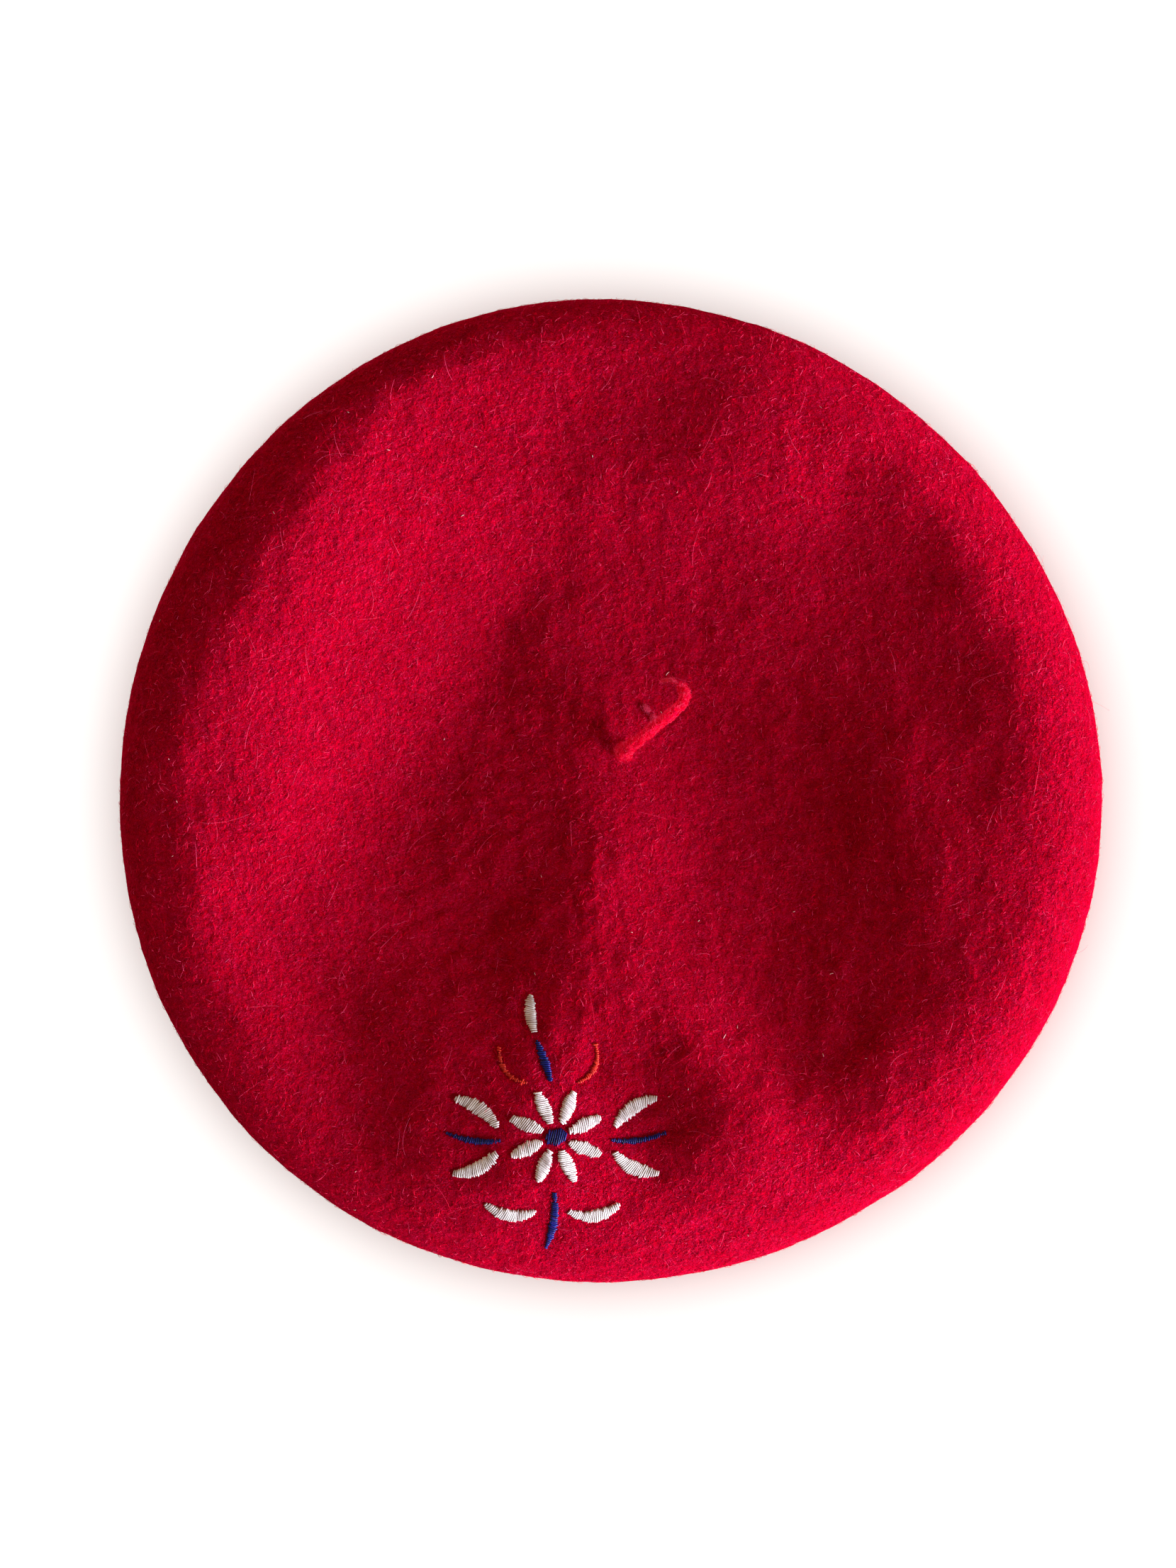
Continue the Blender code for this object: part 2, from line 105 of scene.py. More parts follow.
# Folds of the crown: stations (x, y, height, width) along each fold's line, in mm
FOLDS = {
    "spur": ((-16, -112, 1, 24), (-20, -94, 14, 26), (-16, -70, 16, 28), (-6, -46, 10, 26),
             (-2, -20, 6, 21), (1, 2, 3, 20), (6, 20, 0, 18)),
    "spur_east": ((14, -50, 5, 18), (24, -72, 11, 20), (32, -96, 10, 18), (52, -98, 5, 16)),
    "spur_west": ((-54, -56, 5, 20), (-50, -86, 7, 20)),
    "west_valley": ((-14, 76, -1, 20), (-26, 58, -7, 20), (-36, 34, -8, 22), (-52, 12, -4, 20),
                    (-64, -8, -6, 20), (-80, -28, 0, 18), (-100, -38, -2, 16), (-84, -64, -4, 18),
                    (-74, -84, -4, 18), (-60, -104, -5, 16)),
    "middle_valley": ((-2, 52, -3, 18), (14, 36, -4, 18), (24, 14, -4, 18),
                      (40, -8, -2, 20), (46, -30, -3, 20)),
    "east_swell": ((72, 24, 2, 18), (84, -4, 7, 20), (94, -30, 6, 20)),
    "north_swell": ((-4, 88, 2, 16), (18, 96, 4, 20), (42, 96, 11, 20), (60, 84, 4, 20)),
    "west_swell": ((-66, 90, 4, 18), (-88, 58, 8, 20), (-98, 34, 5, 20), (-96, 4, 4, 18), (-98, -18, 5, 14)),
}
FOLD_STEP = 4 * MM

# ---- Stem, band, cord and label, the same measures as their CAD solids ----

JOINTS = {joint["name"]: np.array(joint["pos_m"]) for joint in frame["joints"]}
STEM_ROOT = JOINTS["stem_tilt"]
STEM_HEADING = math.radians(39)
STEM_RADIUS = 1.4 * MM
STEM_ARCH = ((0, -3.2), (0, -1), (0.7, 1.7), (2.4, 3.5), (5.5, 5.1),
             (9, 6.3), (13, 6.9), (17, 6.9), (20.8, 6.4))
STEM_HOOK = 3.6 * MM
STEM_HOOK_DROP = 2 * MM
STEM_STEP = 0.4 * MM
STEM_SIDES = 24
BAND_LINE = ((86.5, 3.2), (85.7, 8.0), (85.9, 13.0), (88.6, 16.5), (89.0, 19.0))
TAPE = 0.8 * MM
CORD_RADIUS = 0.8 * MM
CORD_RING = (87.0 * MM, 10.5 * MM)
CORD_GAP_ANGLE = math.radians(7)
CORD_UP = np.array([0.13, 0.21, 1.0])  # a direction that no stretch of the cord lies along
KNOT_RADIUS = 2.6 * MM
KNOT_CENTRE = JOINTS["tail_left_swing"]
TAIL_LENGTH = 40 * MM
TAIL_ANGLE = math.radians(30)
TAIL_END_RADIUS = 1.7 * MM
TABLE_GAP = 0.4 * MM
LABEL_HINGE = JOINTS["label_flip"]
LABEL_ANGLE = math.radians(130)
LABEL_WIDTH = 24 * MM
LABEL_LENGTH = 32 * MM
LABEL_DROOP = math.radians(22)

# ---- Embroidered sprig: start, bend and end of each stroke in plan and its half width, in mm ----

FLOWER = (-15, -97)
PETALS = 8
PETAL_RADII = (4.0, 13.6)
PETAL_HALF_WIDTH = 2.3
FLOWER_CENTRE_RADIUS = 2.9
WHITE_STROKES = {
    "leaf_left_upper": ((-31.5, -94.5), (-35.5, -88), (-43.5, -86.5), 2.4),
    "leaf_left_lower": ((-31.5, -101.5), (-36, -107.5), (-44, -107.5), 2.4),
    "leaf_right_upper": ((1.5, -94.5), (5.5, -88), (13.5, -86.5), 2.4),
    "leaf_right_lower": ((1.5, -101.5), (6, -107.5), (14, -107.5), 2.4),
    "leaf_base_left": ((-20.5, -118), (-28, -122), (-35, -116), 2.1),
    "leaf_base_right": ((-11.5, -118), (-4, -122), (3, -116), 2.1),
    "bud": ((-21, -68), (-23, -63), (-22, -57.5), 2.0),
}
BLUE_STROKES = {
    "sprig_stem": ((-15.5, -112.5), (-14.5, -121), (-18, -129), 1.3),
    "bud_stem": ((-16.5, -81.5), (-18, -76), (-20.5, -70), 1.3),
    "twig_left": ((-30.5, -98), (-38, -99.5), (-46, -96), 0.9),
    "twig_right": ((0.5, -98), (8, -99.5), (16, -96), 0.9),
}
RED_STROKES = {
    "tendril_left": ((-23, -82), (-31, -81), (-31, -72), 0.6),
    "tendril_right": ((-9, -82), (-1.5, -79), (-4, -71), 0.6),
}
for petal in range(PETALS):
    way = math.tau * (petal + 0.5) / PETALS
    root, tip = ((FLOWER[0] + r * math.cos(way), FLOWER[1] + r * math.sin(way)) for r in PETAL_RADII)
    middle = ((root[0] + tip[0]) / 2, (root[1] + tip[1]) / 2)
    WHITE_STROKES[f"petal_{petal + 1}"] = (root, middle, tip, PETAL_HALF_WIDTH)
FLOWER_WEST = (FLOWER[0] - FLOWER_CENTRE_RADIUS, FLOWER[1])
FLOWER_EAST = (FLOWER[0] + FLOWER_CENTRE_RADIUS, FLOWER[1])
BLUE_STROKES["flower_centre"] = (FLOWER_WEST, FLOWER, FLOWER_EAST, FLOWER_CENTRE_RADIUS)
THREAD_PITCH = 0.56 * MM
THREAD_RADIUS = 0.26 * MM
THREAD_SLANT = math.radians(76)
STITCH_DENT = 0.7 * MM  # how far the stitches pull the felt down
STITCH_DENT_REACH = 2.6 * MM
UP = np.array([0, 0, 1.0])


def smooth_step(t):
    t = np.clip(t, 0.0, 1.0)
    return t * t * (3 - 2 * t)


def unit(v):
    return v / np.maximum(np.linalg.norm(v, axis=-1, keepdims=True), 1e-12)


def polar(radius, angle, z):
    """Points at these radii and angles round the Z axis, at heights z."""
    return np.stack(np.broadcast_arrays(radius * np.cos(angle), radius * np.sin(angle), z), axis=-1)


def turned(x, y, angle):
    return x * np.cos(angle) - y * np.sin(angle), x * np.sin(angle) + y * np.cos(angle)


def soft_minimum(a, b, softness):
    low = np.minimum(a, b)
    return low - softness * np.log(np.exp((low - a) / softness) + np.exp((low - b) / softness))


def fold_lift(x, y):
    """Height the folds add: each fold is a line smeared sideways by a Gaussian."""
    lift = np.zeros_like(x)
    for fold in FOLDS.values():
        stations = np.array(fold, float) * MM
        for a, b in zip(stations, stations[1:]):
            steps = max(1, round(math.dist(a[:2], b[:2]) / FOLD_STEP))
            for i in range(steps):
                px, py, height, width = a + (b - a) * i / steps
                spread = ((x - px) ** 2 + (y - py) ** 2) / width**2
                lift += height * np.exp(-spread) * FOLD_STEP / (width * math.sqrt(math.pi))
    return lift * smooth_step((RIM_RADIUS - np.hypot(x, y)) / FOLD_FADE)


def crown_height(x, y):
    radius = np.minimum(np.hypot(x, y), RIM_RADIUS)
    angle = np.arctan2(y, x)
    crest = CREST_RADIUS + CREST_LEAN * np.cos(angle - CREST_LEAN_ANGLE)
    across = np.clip((radius - crest) / (RIM_RADIUS - crest), 0, 1)
    roll = RIM_Z + ROLL_RISE * np.sqrt(1 - across**2)
    rise = BOWL_RISE + BOWL_LEAN * np.cos(angle - BOWL_LEAN_ANGLE)
    bowl = BOWL_FLOOR + rise * (radius / BOWL_RADIUS) ** BOWL_POWER
    return soft_minimum(roll, bowl, CREST_SOFTNESS) + fold_lift(x, y)


def outline(angle):
    """How far the rim is from round at each angle, as a share of its radius."""
    return 0.004 * np.cos(angle - math.radians(250)) + 0.007 * np.cos(3 * (angle - math.radians(345)))


def random_field(points, wavelength, seed):
    """A smooth random field of unit size: plane waves of about one wavelength, in random directions."""
    count = 48
    rng = np.random.default_rng(seed)
    way = unit(rng.normal(size=(count, 3)))
    number = math.tau / wavelength * rng.uniform(0.65, 1.45, count)
    phase = rng.uniform(0, math.tau, count)
    flat = points.reshape(-1, 3)
    total = np.zeros(len(flat))
    for k, shift in zip(way * number[:, None], phase):
        total += np.cos(flat @ k + shift)
    return (total * math.sqrt(2 / count)).reshape(points.shape[:-1])


def felt_rings():
    """(radius, height) of each ring from the hem's top to the crown's middle, no height yet on the crown."""
    rings = []
    (top_out, top), (foot_out, foot) = HEM_LINE
    for t in np.linspace(0, 1, 9):
        rings.append((OPENING_RADIUS + top_out + (foot_out - top_out) * t, top + (foot - top) * t))
    for degrees in np.linspace(195, 270, 8):
        a = math.radians(degrees)
        rings.append((OPENING_RADIUS + HEM_FOLD * (1 + math.cos(a)), HEM_FOLD * (1 + math.sin(a))))
    for t in np.linspace(0, 1, 5)[1:-1]:
        rings.append((OPENING_RADIUS + HEM_FOLD + (SEAT_OUTER - OPENING_RADIUS - HEM_FOLD) * t, 0.0))
    for degrees in np.linspace(0, 90, 24):
        a = math.radians(degrees)
        rings.append((SEAT_OUTER + (RIM_RADIUS - SEAT_OUTER) * math.sin(a), RIM_Z * (1 - math.cos(a))))
    for degrees in np.linspace(90, 0, 24)[1:]:
        rings.append((ROLL_START + (RIM_RADIUS - ROLL_START) * math.sin(math.radians(degrees)), None))
    for radius in np.linspace(ROLL_START, 0, 74)[1:-1]:
        rings.append((radius, None))
    return rings


def felt_points():
    """The outer side's points as a grid of rings by angle, with the felt's own unevenness."""
    rings = felt_rings()
    angle = np.linspace(0, math.tau, SEGMENTS, endpoint=False)
    radius = np.array([ring[0] for ring in rings])[:, None]
    crown = np.array([ring[1] is None for ring in rings])
    points = polar(radius, angle, np.array([ring[1] or 0.0 for ring in rings])[:, None])
    points[crown, :, 2] = crown_height(points[crown, :, 0], points[crown, :, 1])
    share = smooth_step((radius - SEAT_OUTER) / (RIM_RADIUS - SEAT_OUTER))
    points[..., :2] *= (1 + outline(angle) * share)[..., None]
    lumps = sum(height * random_field(points, wavelength, seed) for height, wavelength, seed in FELT_LUMPS)
    lumps *= smooth_step((points[..., 2] - 2 * MM) / (12 * MM))  # flat where it lies on the table
    smooth_within = np.where(crown, 0, 92 * MM)[:, None]  # even round the opening and under the stem
    lumps *= smooth_step((radius - smooth_within) / (14 * MM))
    lumps *= 1 - 0.6 * smooth_step((radius - 126 * MM) / (10 * MM))  # drawn tighter round the rim
    lumps[crown] -= stitch_dent(points[crown])
    return points + grid_normals(points) * lumps[..., None]


def bend_points(stroke, t):
    """Points at the shares t of the way along a stroke's curve, in plan, in metres."""
    start, bend, end = (np.array(p) * MM for p in stroke[:3])
    t = t[:, None]
    return start * (1 - t) ** 2 + bend * 2 * t * (1 - t) + end * t**2


def half_width(stroke, t):
    """A stroke is widest in its middle and a quarter as wide at its ends."""
    return stroke[3] * MM * (0.25 + 0.75 * np.sin(math.pi * t) ** 0.8)


def stitch_dent(points):
    """How far the felt is pulled down at these points by the nearest stroke's stitches."""
    t = np.linspace(0, 1, 9)
    near = np.full(points.shape[:-1], 1.0)
    for stroke in (*WHITE_STROKES.values(), *BLUE_STROKES.values(), *RED_STROKES.values()):
        for (x, y), width in zip(bend_points(stroke, t), half_width(stroke, t)):
            near = np.minimum(near, np.hypot(points[..., 0] - x, points[..., 1] - y) - width)
    return STITCH_DENT * np.exp(-((np.maximum(near, 0) / STITCH_DENT_REACH) ** 2))


def grid_normals(points):
    """Outward normals of a grid that is closed round its second side."""
    around = np.roll(points, -1, axis=1) - np.roll(points, 1, axis=1)
    along = np.gradient(points, axis=0)
    return unit(np.cross(around, along))


# ---- Meshes ----


def build_mesh(name, verts, faces, material, smooth=True, shade=None):
    """A mesh object from an array of points and a list of face arrays, each array with one corner count."""
    mesh = bpy.data.meshes.new(name)
    verts = np.asarray(verts, np.float32)
    loops = np.concatenate([face.ravel() for face in faces]).astype(np.int32)
    counts = np.concatenate([np.full(len(face), face.shape[1]) for face in faces])
    starts = np.concatenate([[0], np.cumsum(counts)[:-1]]).astype(np.int32)
    mesh.vertices.add(len(verts))
    mesh.vertices.foreach_set("co", verts.ravel())
    mesh.loops.add(len(loops))
    mesh.loops.foreach_set("vertex_index", loops)
    mesh.polygons.add(len(counts))
    mesh.polygons.foreach_set("loop_start", starts)
    mesh.polygons.foreach_set("use_smooth", np.full(len(counts), smooth))
    mesh.update(calc_edges=True)
    if shade is not None:
        layer = mesh.attributes.new("shade", "FLOAT", "POINT")
        layer.data.foreach_set("value", np.asarray(shade, np.float32))
    mesh.validate()
    obj = bpy.data.objects.new(name, mesh)
    bpy.context.scene.collection.objects.link(obj)
    mesh.materials.append(material)
    return obj


def grid_faces(rows, columns, wrap_rows=False, wrap_columns=True):
    """Quads of a grid of points, closed round its columns or rows where asked."""
    row = np.arange(rows if wrap_rows else rows - 1)[:, None]
    column = np.arange(columns if wrap_columns else columns - 1)
    below, after = (row + 1) % rows, (column + 1) % columns
    corners = (row * columns + column, row * columns + after,
               below * columns + after, below * columns + column)
    return np.stack(np.broadcast_arrays(*corners), axis=-1).reshape(-1, 4)


def sheet_arrays(grid, thickness):
    """A closed sheet: an open grid of points, thickened evenly to both sides."""
    rows, columns = grid.shape[:2]
    normal = unit(np.cross(np.gradient(grid, axis=0), np.gradient(grid, axis=1)))
    upper, lower = grid + normal * thickness / 2, grid - normal * thickness / 2
    verts = np.concatenate([upper.reshape(-1, 3), lower.reshape(-1, 3)])
    one_side = grid_faces(rows, columns, False, False)
    index = np.arange(rows * columns).reshape(rows, columns)
    edge = np.concatenate([index[0, :-1], index[:-1, -1], index[-1, :0:-1], index[:0:-1, 0]])
    after = np.roll(edge, -1)
    other = rows * columns
    rim = np.stack([edge, after, after + other, edge + other], axis=-1)
    return verts, [one_side[:, ::-1], one_side + other, rim]


def reach_along(path):
    """Each point's distance from the first along a path."""
    return np.concatenate([[0], np.cumsum(np.linalg.norm(np.diff(path, axis=0), axis=1))])


def even_path(points, spacing, rounds):
    """Points spaced evenly along a smoothed line through the given ones, ends kept."""
    points = np.asarray(points, float)
    reach = reach_along(points)
    count = max(4, round(reach[-1] / spacing) + 1)
    at = np.linspace(0, reach[-1], count)
    path = np.stack([np.interp(at, reach, points[:, i]) for i in range(3)], axis=-1)
    for _ in range(rounds):
        path[1:-1] = (path[:-2] + 2 * path[1:-1] + path[2:]) / 4
    return path


def tube_arrays(paths, radii, sides, up):
    """Closed tubes round many paths at once: paths (n, k, 3), radii (n, k), up (n, k, 3) or one vector."""
    count, steps = paths.shape[:2]
    tangent = unit(np.gradient(paths, axis=1))
    side = unit(np.cross(tangent, np.broadcast_to(up, paths.shape)))
    lift = np.cross(side, tangent)
    turn = np.linspace(0, math.tau, sides, endpoint=False)
    ring = side[:, :, None] * np.cos(turn)[:, None] + lift[:, :, None] * np.sin(turn)[:, None]
    verts = paths[:, :, None] + ring * radii[:, :, None, None]
    start = (np.arange(count) * steps * sides)[:, None, None]
    quads = (start + grid_faces(steps, sides)[:, ::-1]).reshape(-1, 4)
    first = start[:, :, 0] + np.arange(sides)
    last = start[:, :, 0] + (steps - 1) * sides + np.arange(sides)[::-1]
    return verts.reshape(-1, 3), [quads, np.concatenate([first, last])]


def build_tubes(name, paths, radius, sides, up, material, shade=None):
    """A mesh object of closed tubes: one radius or one for each point, one shade or one for each tube."""
    verts, faces = tube_arrays(paths, radius * np.ones(paths.shape[:2]), sides, up)
    if shade is not None:
        shade = np.repeat(shade * np.ones(len(paths)), paths.shape[1] * sides)
    return build_mesh(name, verts, faces, material, True, shade)


def finish_piece(obj, slot, *nodes, bend=None):
    """Fixes a piece to the hat and hides the CAD nodes that it replaces. The slot is not used.

    A piece with a bend only has its transform baked into its mesh; it is not fixed to the hat.
    """
    if bend:
        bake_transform(obj)
    else:
        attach(obj, "hat")
    if nodes:
        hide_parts(*nodes)


# ---- Materials ----


class Tree:
    """A material's node tree, with short calls to add and wire nodes."""

    def __init__(self, name):
        self.material = bpy.data.materials.new(name)
        self.material.use_nodes = True
        self.nodes = self.material.node_tree.nodes
        self.shader = self.nodes["Principled BSDF"]
        self.place = self.add("ShaderNodeTexCoord").outputs["Object"]

    def add(self, kind, settings=None, **inputs):
        node = self.nodes.new(kind)
        for key, value in (settings or {}).items():
            setattr(node, key, value)
        for key, value in inputs.items():
            self.wire(value, node.inputs[key.replace("_", " ")])
        return node

    def wire(self, value, socket):
        if isinstance(value, bpy.types.NodeSocket):
            self.material.node_tree.links.new(value, socket)
        else:
            socket.default_value = value

    def set(self, **inputs):
        for key, value in inputs.items():
            self.wire(value, self.shader.inputs[key.replace("_", " ")])

    def math(self, operation, a, b):
        node = self.add("ShaderNodeMath", {"operation": operation})
        self.wire(a, node.inputs[0])
        self.wire(b, node.inputs[1])
        return node.outputs[0]

    def weigh(self, *terms):
        """The sum of (value, weight) pairs."""
        first, *rest = (self.math("MULTIPLY", value, weight) for value, weight in terms)
        for part in rest:
            first = self.math("ADD", first, part)
        return first

    def shade(self):
        return self.add("ShaderNodeAttribute", {"attribute_name": "shade"}).outputs["Fac"]

    def noise(self, scale, detail=2.0, roughness=0.5, distortion=0.0, place=None):
        node = self.add("ShaderNodeTexNoise", Vector=place or self.place, Scale=scale, Detail=detail,
                        Roughness=roughness, Distortion=distortion)
        return node.outputs["Fac"]

    def span(self, value, low, high, to_low=0.0, to_high=1.0):
        """The value stretched from low..high to to_low..to_high, and held inside it."""
        node = self.add("ShaderNodeMapRange", {"clamp": True}, Value=value, From_Min=low, From_Max=high,
                        To_Min=to_low, To_Max=to_high)
        return node.outputs["Result"]

    def ramp(self, value, *stops):
        node = self.add("ShaderNodeValToRGB", Fac=value)
        elements = node.color_ramp.elements
        while len(elements) < len(stops):
            elements.new(0.5)
        for element, (position, colour) in zip(elements, stops):
            element.position = position
            element.color = (*colour, 1.0)
        return node.outputs["Color"]

    def mix(self, share, a, b):
        node = self.add("ShaderNodeMix", {"data_type": "RGBA"})
        self.wire(share, node.inputs[0])
        for colour, socket in ((a, node.inputs[6]), (b, node.inputs[7])):
            self.wire(colour if isinstance(colour, bpy.types.NodeSocket) else (*colour, 1.0), socket)
        return node.outputs[2]

    def bump(self, height, distance, strength):
        node = self.add("ShaderNodeBump", Height=height, Distance=distance, Strength=strength)
        self.set(Normal=node.outputs["Normal"])


def flecks(tree, degrees, along, across, share, offset):
    """Short fibre-like marks, all lying roughly one way: a stretched noise, cut off near its top."""
    moved = tree.add("ShaderNodeVectorMath", {"operation": "ADD"})
    tree.wire(tree.place, moved.inputs[0])
    tree.wire(offset, moved.inputs[1])
    place = tree.add("ShaderNodeMapping", {"vector_type": "TEXTURE"}, Vector=moved.outputs[0],
                     Rotation=(0, 0, math.radians(degrees)), Scale=(along, across, across))
    value = tree.noise(1.0, 1.0, 0.5, 0.6, place.outputs[0])
    return tree.span(value, share, share + 0.10)


def felt_material(name, dark, middle, light, sheen, soak):
    """Matted wool: soft blotches, lumps and pits, and short lighter fibres. Light soaks into thin wool."""
    tree = Tree(name)
    blotch = tree.noise(160, 3.0, 0.6)
    lump = tree.noise(620, 2.0, 0.6)
    grain = tree.noise(1900, 2.0, 0.6)
    tone = tree.weigh((blotch, 0.30), (lump, 0.42), (grain, 0.28))
    colour = tree.ramp(tone, (0.34, dark), (0.5, middle), (0.66, light))
    marks = None
    for degrees, share, offset in ((42, 0.57, (0.31, 0.17, 0.05)), (-12, 0.60, (0.11, 0.57, 0.29)),
                                   (85, 0.60, (0.47, 0.03, 0.61)), (20, 0.57, (0.83, 0.41, 0.13))):
        layer = flecks(tree, degrees, 1.1 * MM, 0.22 * MM, share, offset)
        marks = layer if marks is None else tree.math("MAXIMUM", marks, layer)
    strength = tree.span(tree.noise(260, 1.0), 0.3, 0.7, 0.35, 1.0)
    marks = tree.math("MULTIPLY", marks, strength)
    tree.set(Base_Color=tree.mix(tree.math("MULTIPLY", marks, 0.9), colour, RED_FLECK))
    relief = tree.weigh((lump, 0.6), (grain, 0.3), (marks, 0.3), (tree.noise(330, 1.0), 0.7))
    tree.bump(relief, 2.9 * MM, 1.0)
    tree.set(Roughness=0.95, Specular_IOR_Level=0.0)
    tree.set(Sheen_Weight=sheen, Sheen_Roughness=0.4, Sheen_Tint=(1.0, 0.0003, 0.05, 1.0))
    tree.set(Subsurface_Weight=soak, Subsurface_Radius=(1.0, 0.06, 0.12), Subsurface_Scale=3 * MM)
    return tree.material


def fibre_material(name, low, middle, high):
    """Loose wool fibres, each with its own tone from its shade attribute."""
    tree = Tree(name)
    tone = tree.weigh((tree.shade(), 0.8), (tree.noise(900, 1.0), 0.2))
    tree.set(Base_Color=tree.ramp(tone, (0.0, low), (0.55, middle), (1.0, high)))
    tree.set(Roughness=0.8, Specular_IOR_Level=0.0)
    return tree.material


def thread_material(name, low, high, sheen=0.15):
    """Glossy embroidery or sewing thread: fine plies, and a tone of its own for each stitch."""
    tree = Tree(name)
    plies = tree.noise(4200, 2.0, 0.6)
    tone = tree.weigh((tree.shade(), 0.6), (plies, 0.4))
    tree.set(Base_Color=tree.ramp(tone, (0.1, low), (0.8, high)))
    tree.set(Roughness=0.42, Sheen_Weight=sheen, Specular_IOR_Level=0.35)
    tree.bump(plies, 0.06 * MM, 0.6)
    return tree.material


def cord_material(name):
    """Black braided cotton with a dusty surface."""
    tree = Tree(name)
    lint = tree.span(tree.noise(2600, 2.0), 0.55, 0.75)
    tree.set(Base_Color=tree.mix(lint, (0.012, 0.012, 0.014), (0.05, 0.045, 0.05)), Roughness=0.8)
    tree.bump(tree.noise(3500, 2.0), 0.1 * MM, 0.5)
    return tree.material


def ribbon_material(name):
    """Black grosgrain: the ribs are modelled, the fine weave across them and a little dust are drawn."""
    tree = Tree(name)
    dust = tree.span(tree.noise(60, 3.0), 0.45, 0.75)
    lint = tree.span(tree.noise(2200, 1.0), 0.62, 0.72)
    colour = tree.mix(tree.math("MULTIPLY", dust, 0.6), (0.010, 0.010, 0.012), (0.022, 0.020, 0.022))
    dusted = tree.mix(tree.math("MULTIPLY", lint, 0.5), colour, (0.09, 0.06, 0.065))
    tree.set(Base_Color=dusted, Roughness=0.55, Sheen_Weight=0.2)
    tree.bump(tree.noise(3000, 2.0), 0.08 * MM, 0.5)
    return tree.material


def woven_material(name, low, high, pitch, roughness):
    """Fine woven or matted white cloth: a close crossing of waves with uneven tone."""
    tree = Tree(name)
    scale = math.tau / 20 / pitch  # a wave texture of scale 1 repeats every tau / 20
    waves = [tree.add("ShaderNodeTexWave", {"bands_direction": direction}, Vector=tree.place,
                      Scale=scale, Distortion=0.6).outputs["Fac"] for direction in ("X", "Y")]
    weave = tree.math("MULTIPLY", *waves)
    tone = tree.weigh((weave, 0.5), (tree.noise(220, 3.0), 0.5))
    tree.set(Base_Color=tree.ramp(tone, (0.2, low), (0.7, high)), Roughness=roughness, Sheen_Weight=0.2)
    tree.bump(weave, 0.08 * MM, 0.5)
    return tree.material


RED_DARK = (0.29, 0.0001, 0.003)
RED = (0.57, 0.0002, 0.012)
RED_LIGHT = (0.86, 0.0006, 0.036)
RED_FLECK = (1.0, 0.014, 0.11)
# The stem is the crown's own wool drawn in lighter colours: painted light for the light that the raised stem
# catches
STEM_PAINTED_LIT_DARK = (0.60, 0.0004, 0.025)
STEM_PAINTED_LIT_MIDDLE = (0.84, 0.001, 0.05)
STEM_PAINTED_LIT_LIGHT = (0.98, 0.004, 0.085)
FELT_RED = felt_material("wool_felt", RED_DARK, RED, RED_LIGHT, 0.85, 0.0)
STEM_PAINTED_LIT_RED = felt_material("stem_felt", STEM_PAINTED_LIT_DARK, STEM_PAINTED_LIT_MIDDLE, STEM_PAINTED_LIT_LIGHT, 0.6, 0.9)
NAP_RED = fibre_material("wool_fibres", (0.72, 0.0002, 0.012), (0.92, 0.0005, 0.04), (1.0, 0.12, 0.30))
LINT_PALE = fibre_material("pale_lint", (0.90, 0.30, 0.34), (0.98, 0.50, 0.52), (1.0, 0.75, 0.70))
WHITE_THREAD = thread_material("white_thread", (0.62, 0.53, 0.54), (1.0, 0.97, 0.98), sheen=0.6)
BLUE_THREAD = thread_material("blue_thread", (0.001, 0.002, 0.045), (0.004, 0.014, 0.22), sheen=0.0)
RED_THREAD = thread_material("red_thread", (0.50, 0.004, 0.002), (0.95, 0.03, 0.01))
SEWING_THREAD = thread_material("sewing_thread", (0.16, 0.002, 0.008), (0.36, 0.006, 0.022))
CORD_BLACK = cord_material("black_cord")
RIBBON_BLACK = ribbon_material("black_ribbon")
LABEL_WHITE = woven_material("label_satin", (0.66, 0.64, 0.60), (0.86, 0.85, 0.82), 0.25 * MM, 0.45)
BACKING_WHITE = woven_material("stabiliser", (0.55, 0.50, 0.49), (0.80, 0.78, 0.75), 0.6 * MM, 0.9)


# ---- Felt body and its nap ----

NAP_HEADING = 40  # degrees
NAP_WANDER = 55  # degrees
NAP_CURL = 0.35
NAP_ARCH = math.radians(155)  # how much of a half turn a fibre's rise and fall takes up
NAP_ROOT_DEPTH = 0.06 * MM
WISP_RADIUS = 0.045 * MM


def felt_shell(points):
    """The felt as one closed skin: the outer grid, capped at the crown's middle, thickened inwards."""
    rows, columns = points.shape[:2]
    middle = points[-1].mean(axis=0)
    verts = np.concatenate([points.reshape(-1, 3), [middle]])
    last = (rows - 1) * columns + np.arange(columns)
    fan = np.stack([last, np.roll(last, -1), np.full(columns, rows * columns)], axis=-1)
    obj = build_mesh("felt_shell", verts, [grid_faces(rows, columns), fan], FELT_RED)
    thick = obj.modifiers.new("thickness", "SOLIDIFY")
    thick.thickness = FELT
    thick.offset = -1
    finish_piece(obj, "wool_felt", "felt_body")


def scatter(points, normals, count, rng, keep):
    """Random spots on a closed grid, evenly by area where keep is 1: positions and normals."""
    nxt = np.roll(points, -1, axis=1)
    u = nxt[:-1] - points[:-1]
    v = points[1:] - points[:-1]
    area = np.linalg.norm(np.cross(u, v), axis=-1) * keep[:-1]
    cell = rng.choice(area.size, count, p=area.ravel() / area.sum())
    row, column = np.divmod(cell, points.shape[1])
    after = (column + 1) % points.shape[1]
    s, t = rng.random((2, count, 1))

    def blend(grid):
        low = grid[row, column] * (1 - s) + grid[row, after] * s
        high = grid[row + 1, column] * (1 - s) + grid[row + 1, after] * s
        return low * (1 - t) + high * t

    return blend(points), unit(blend(normals))


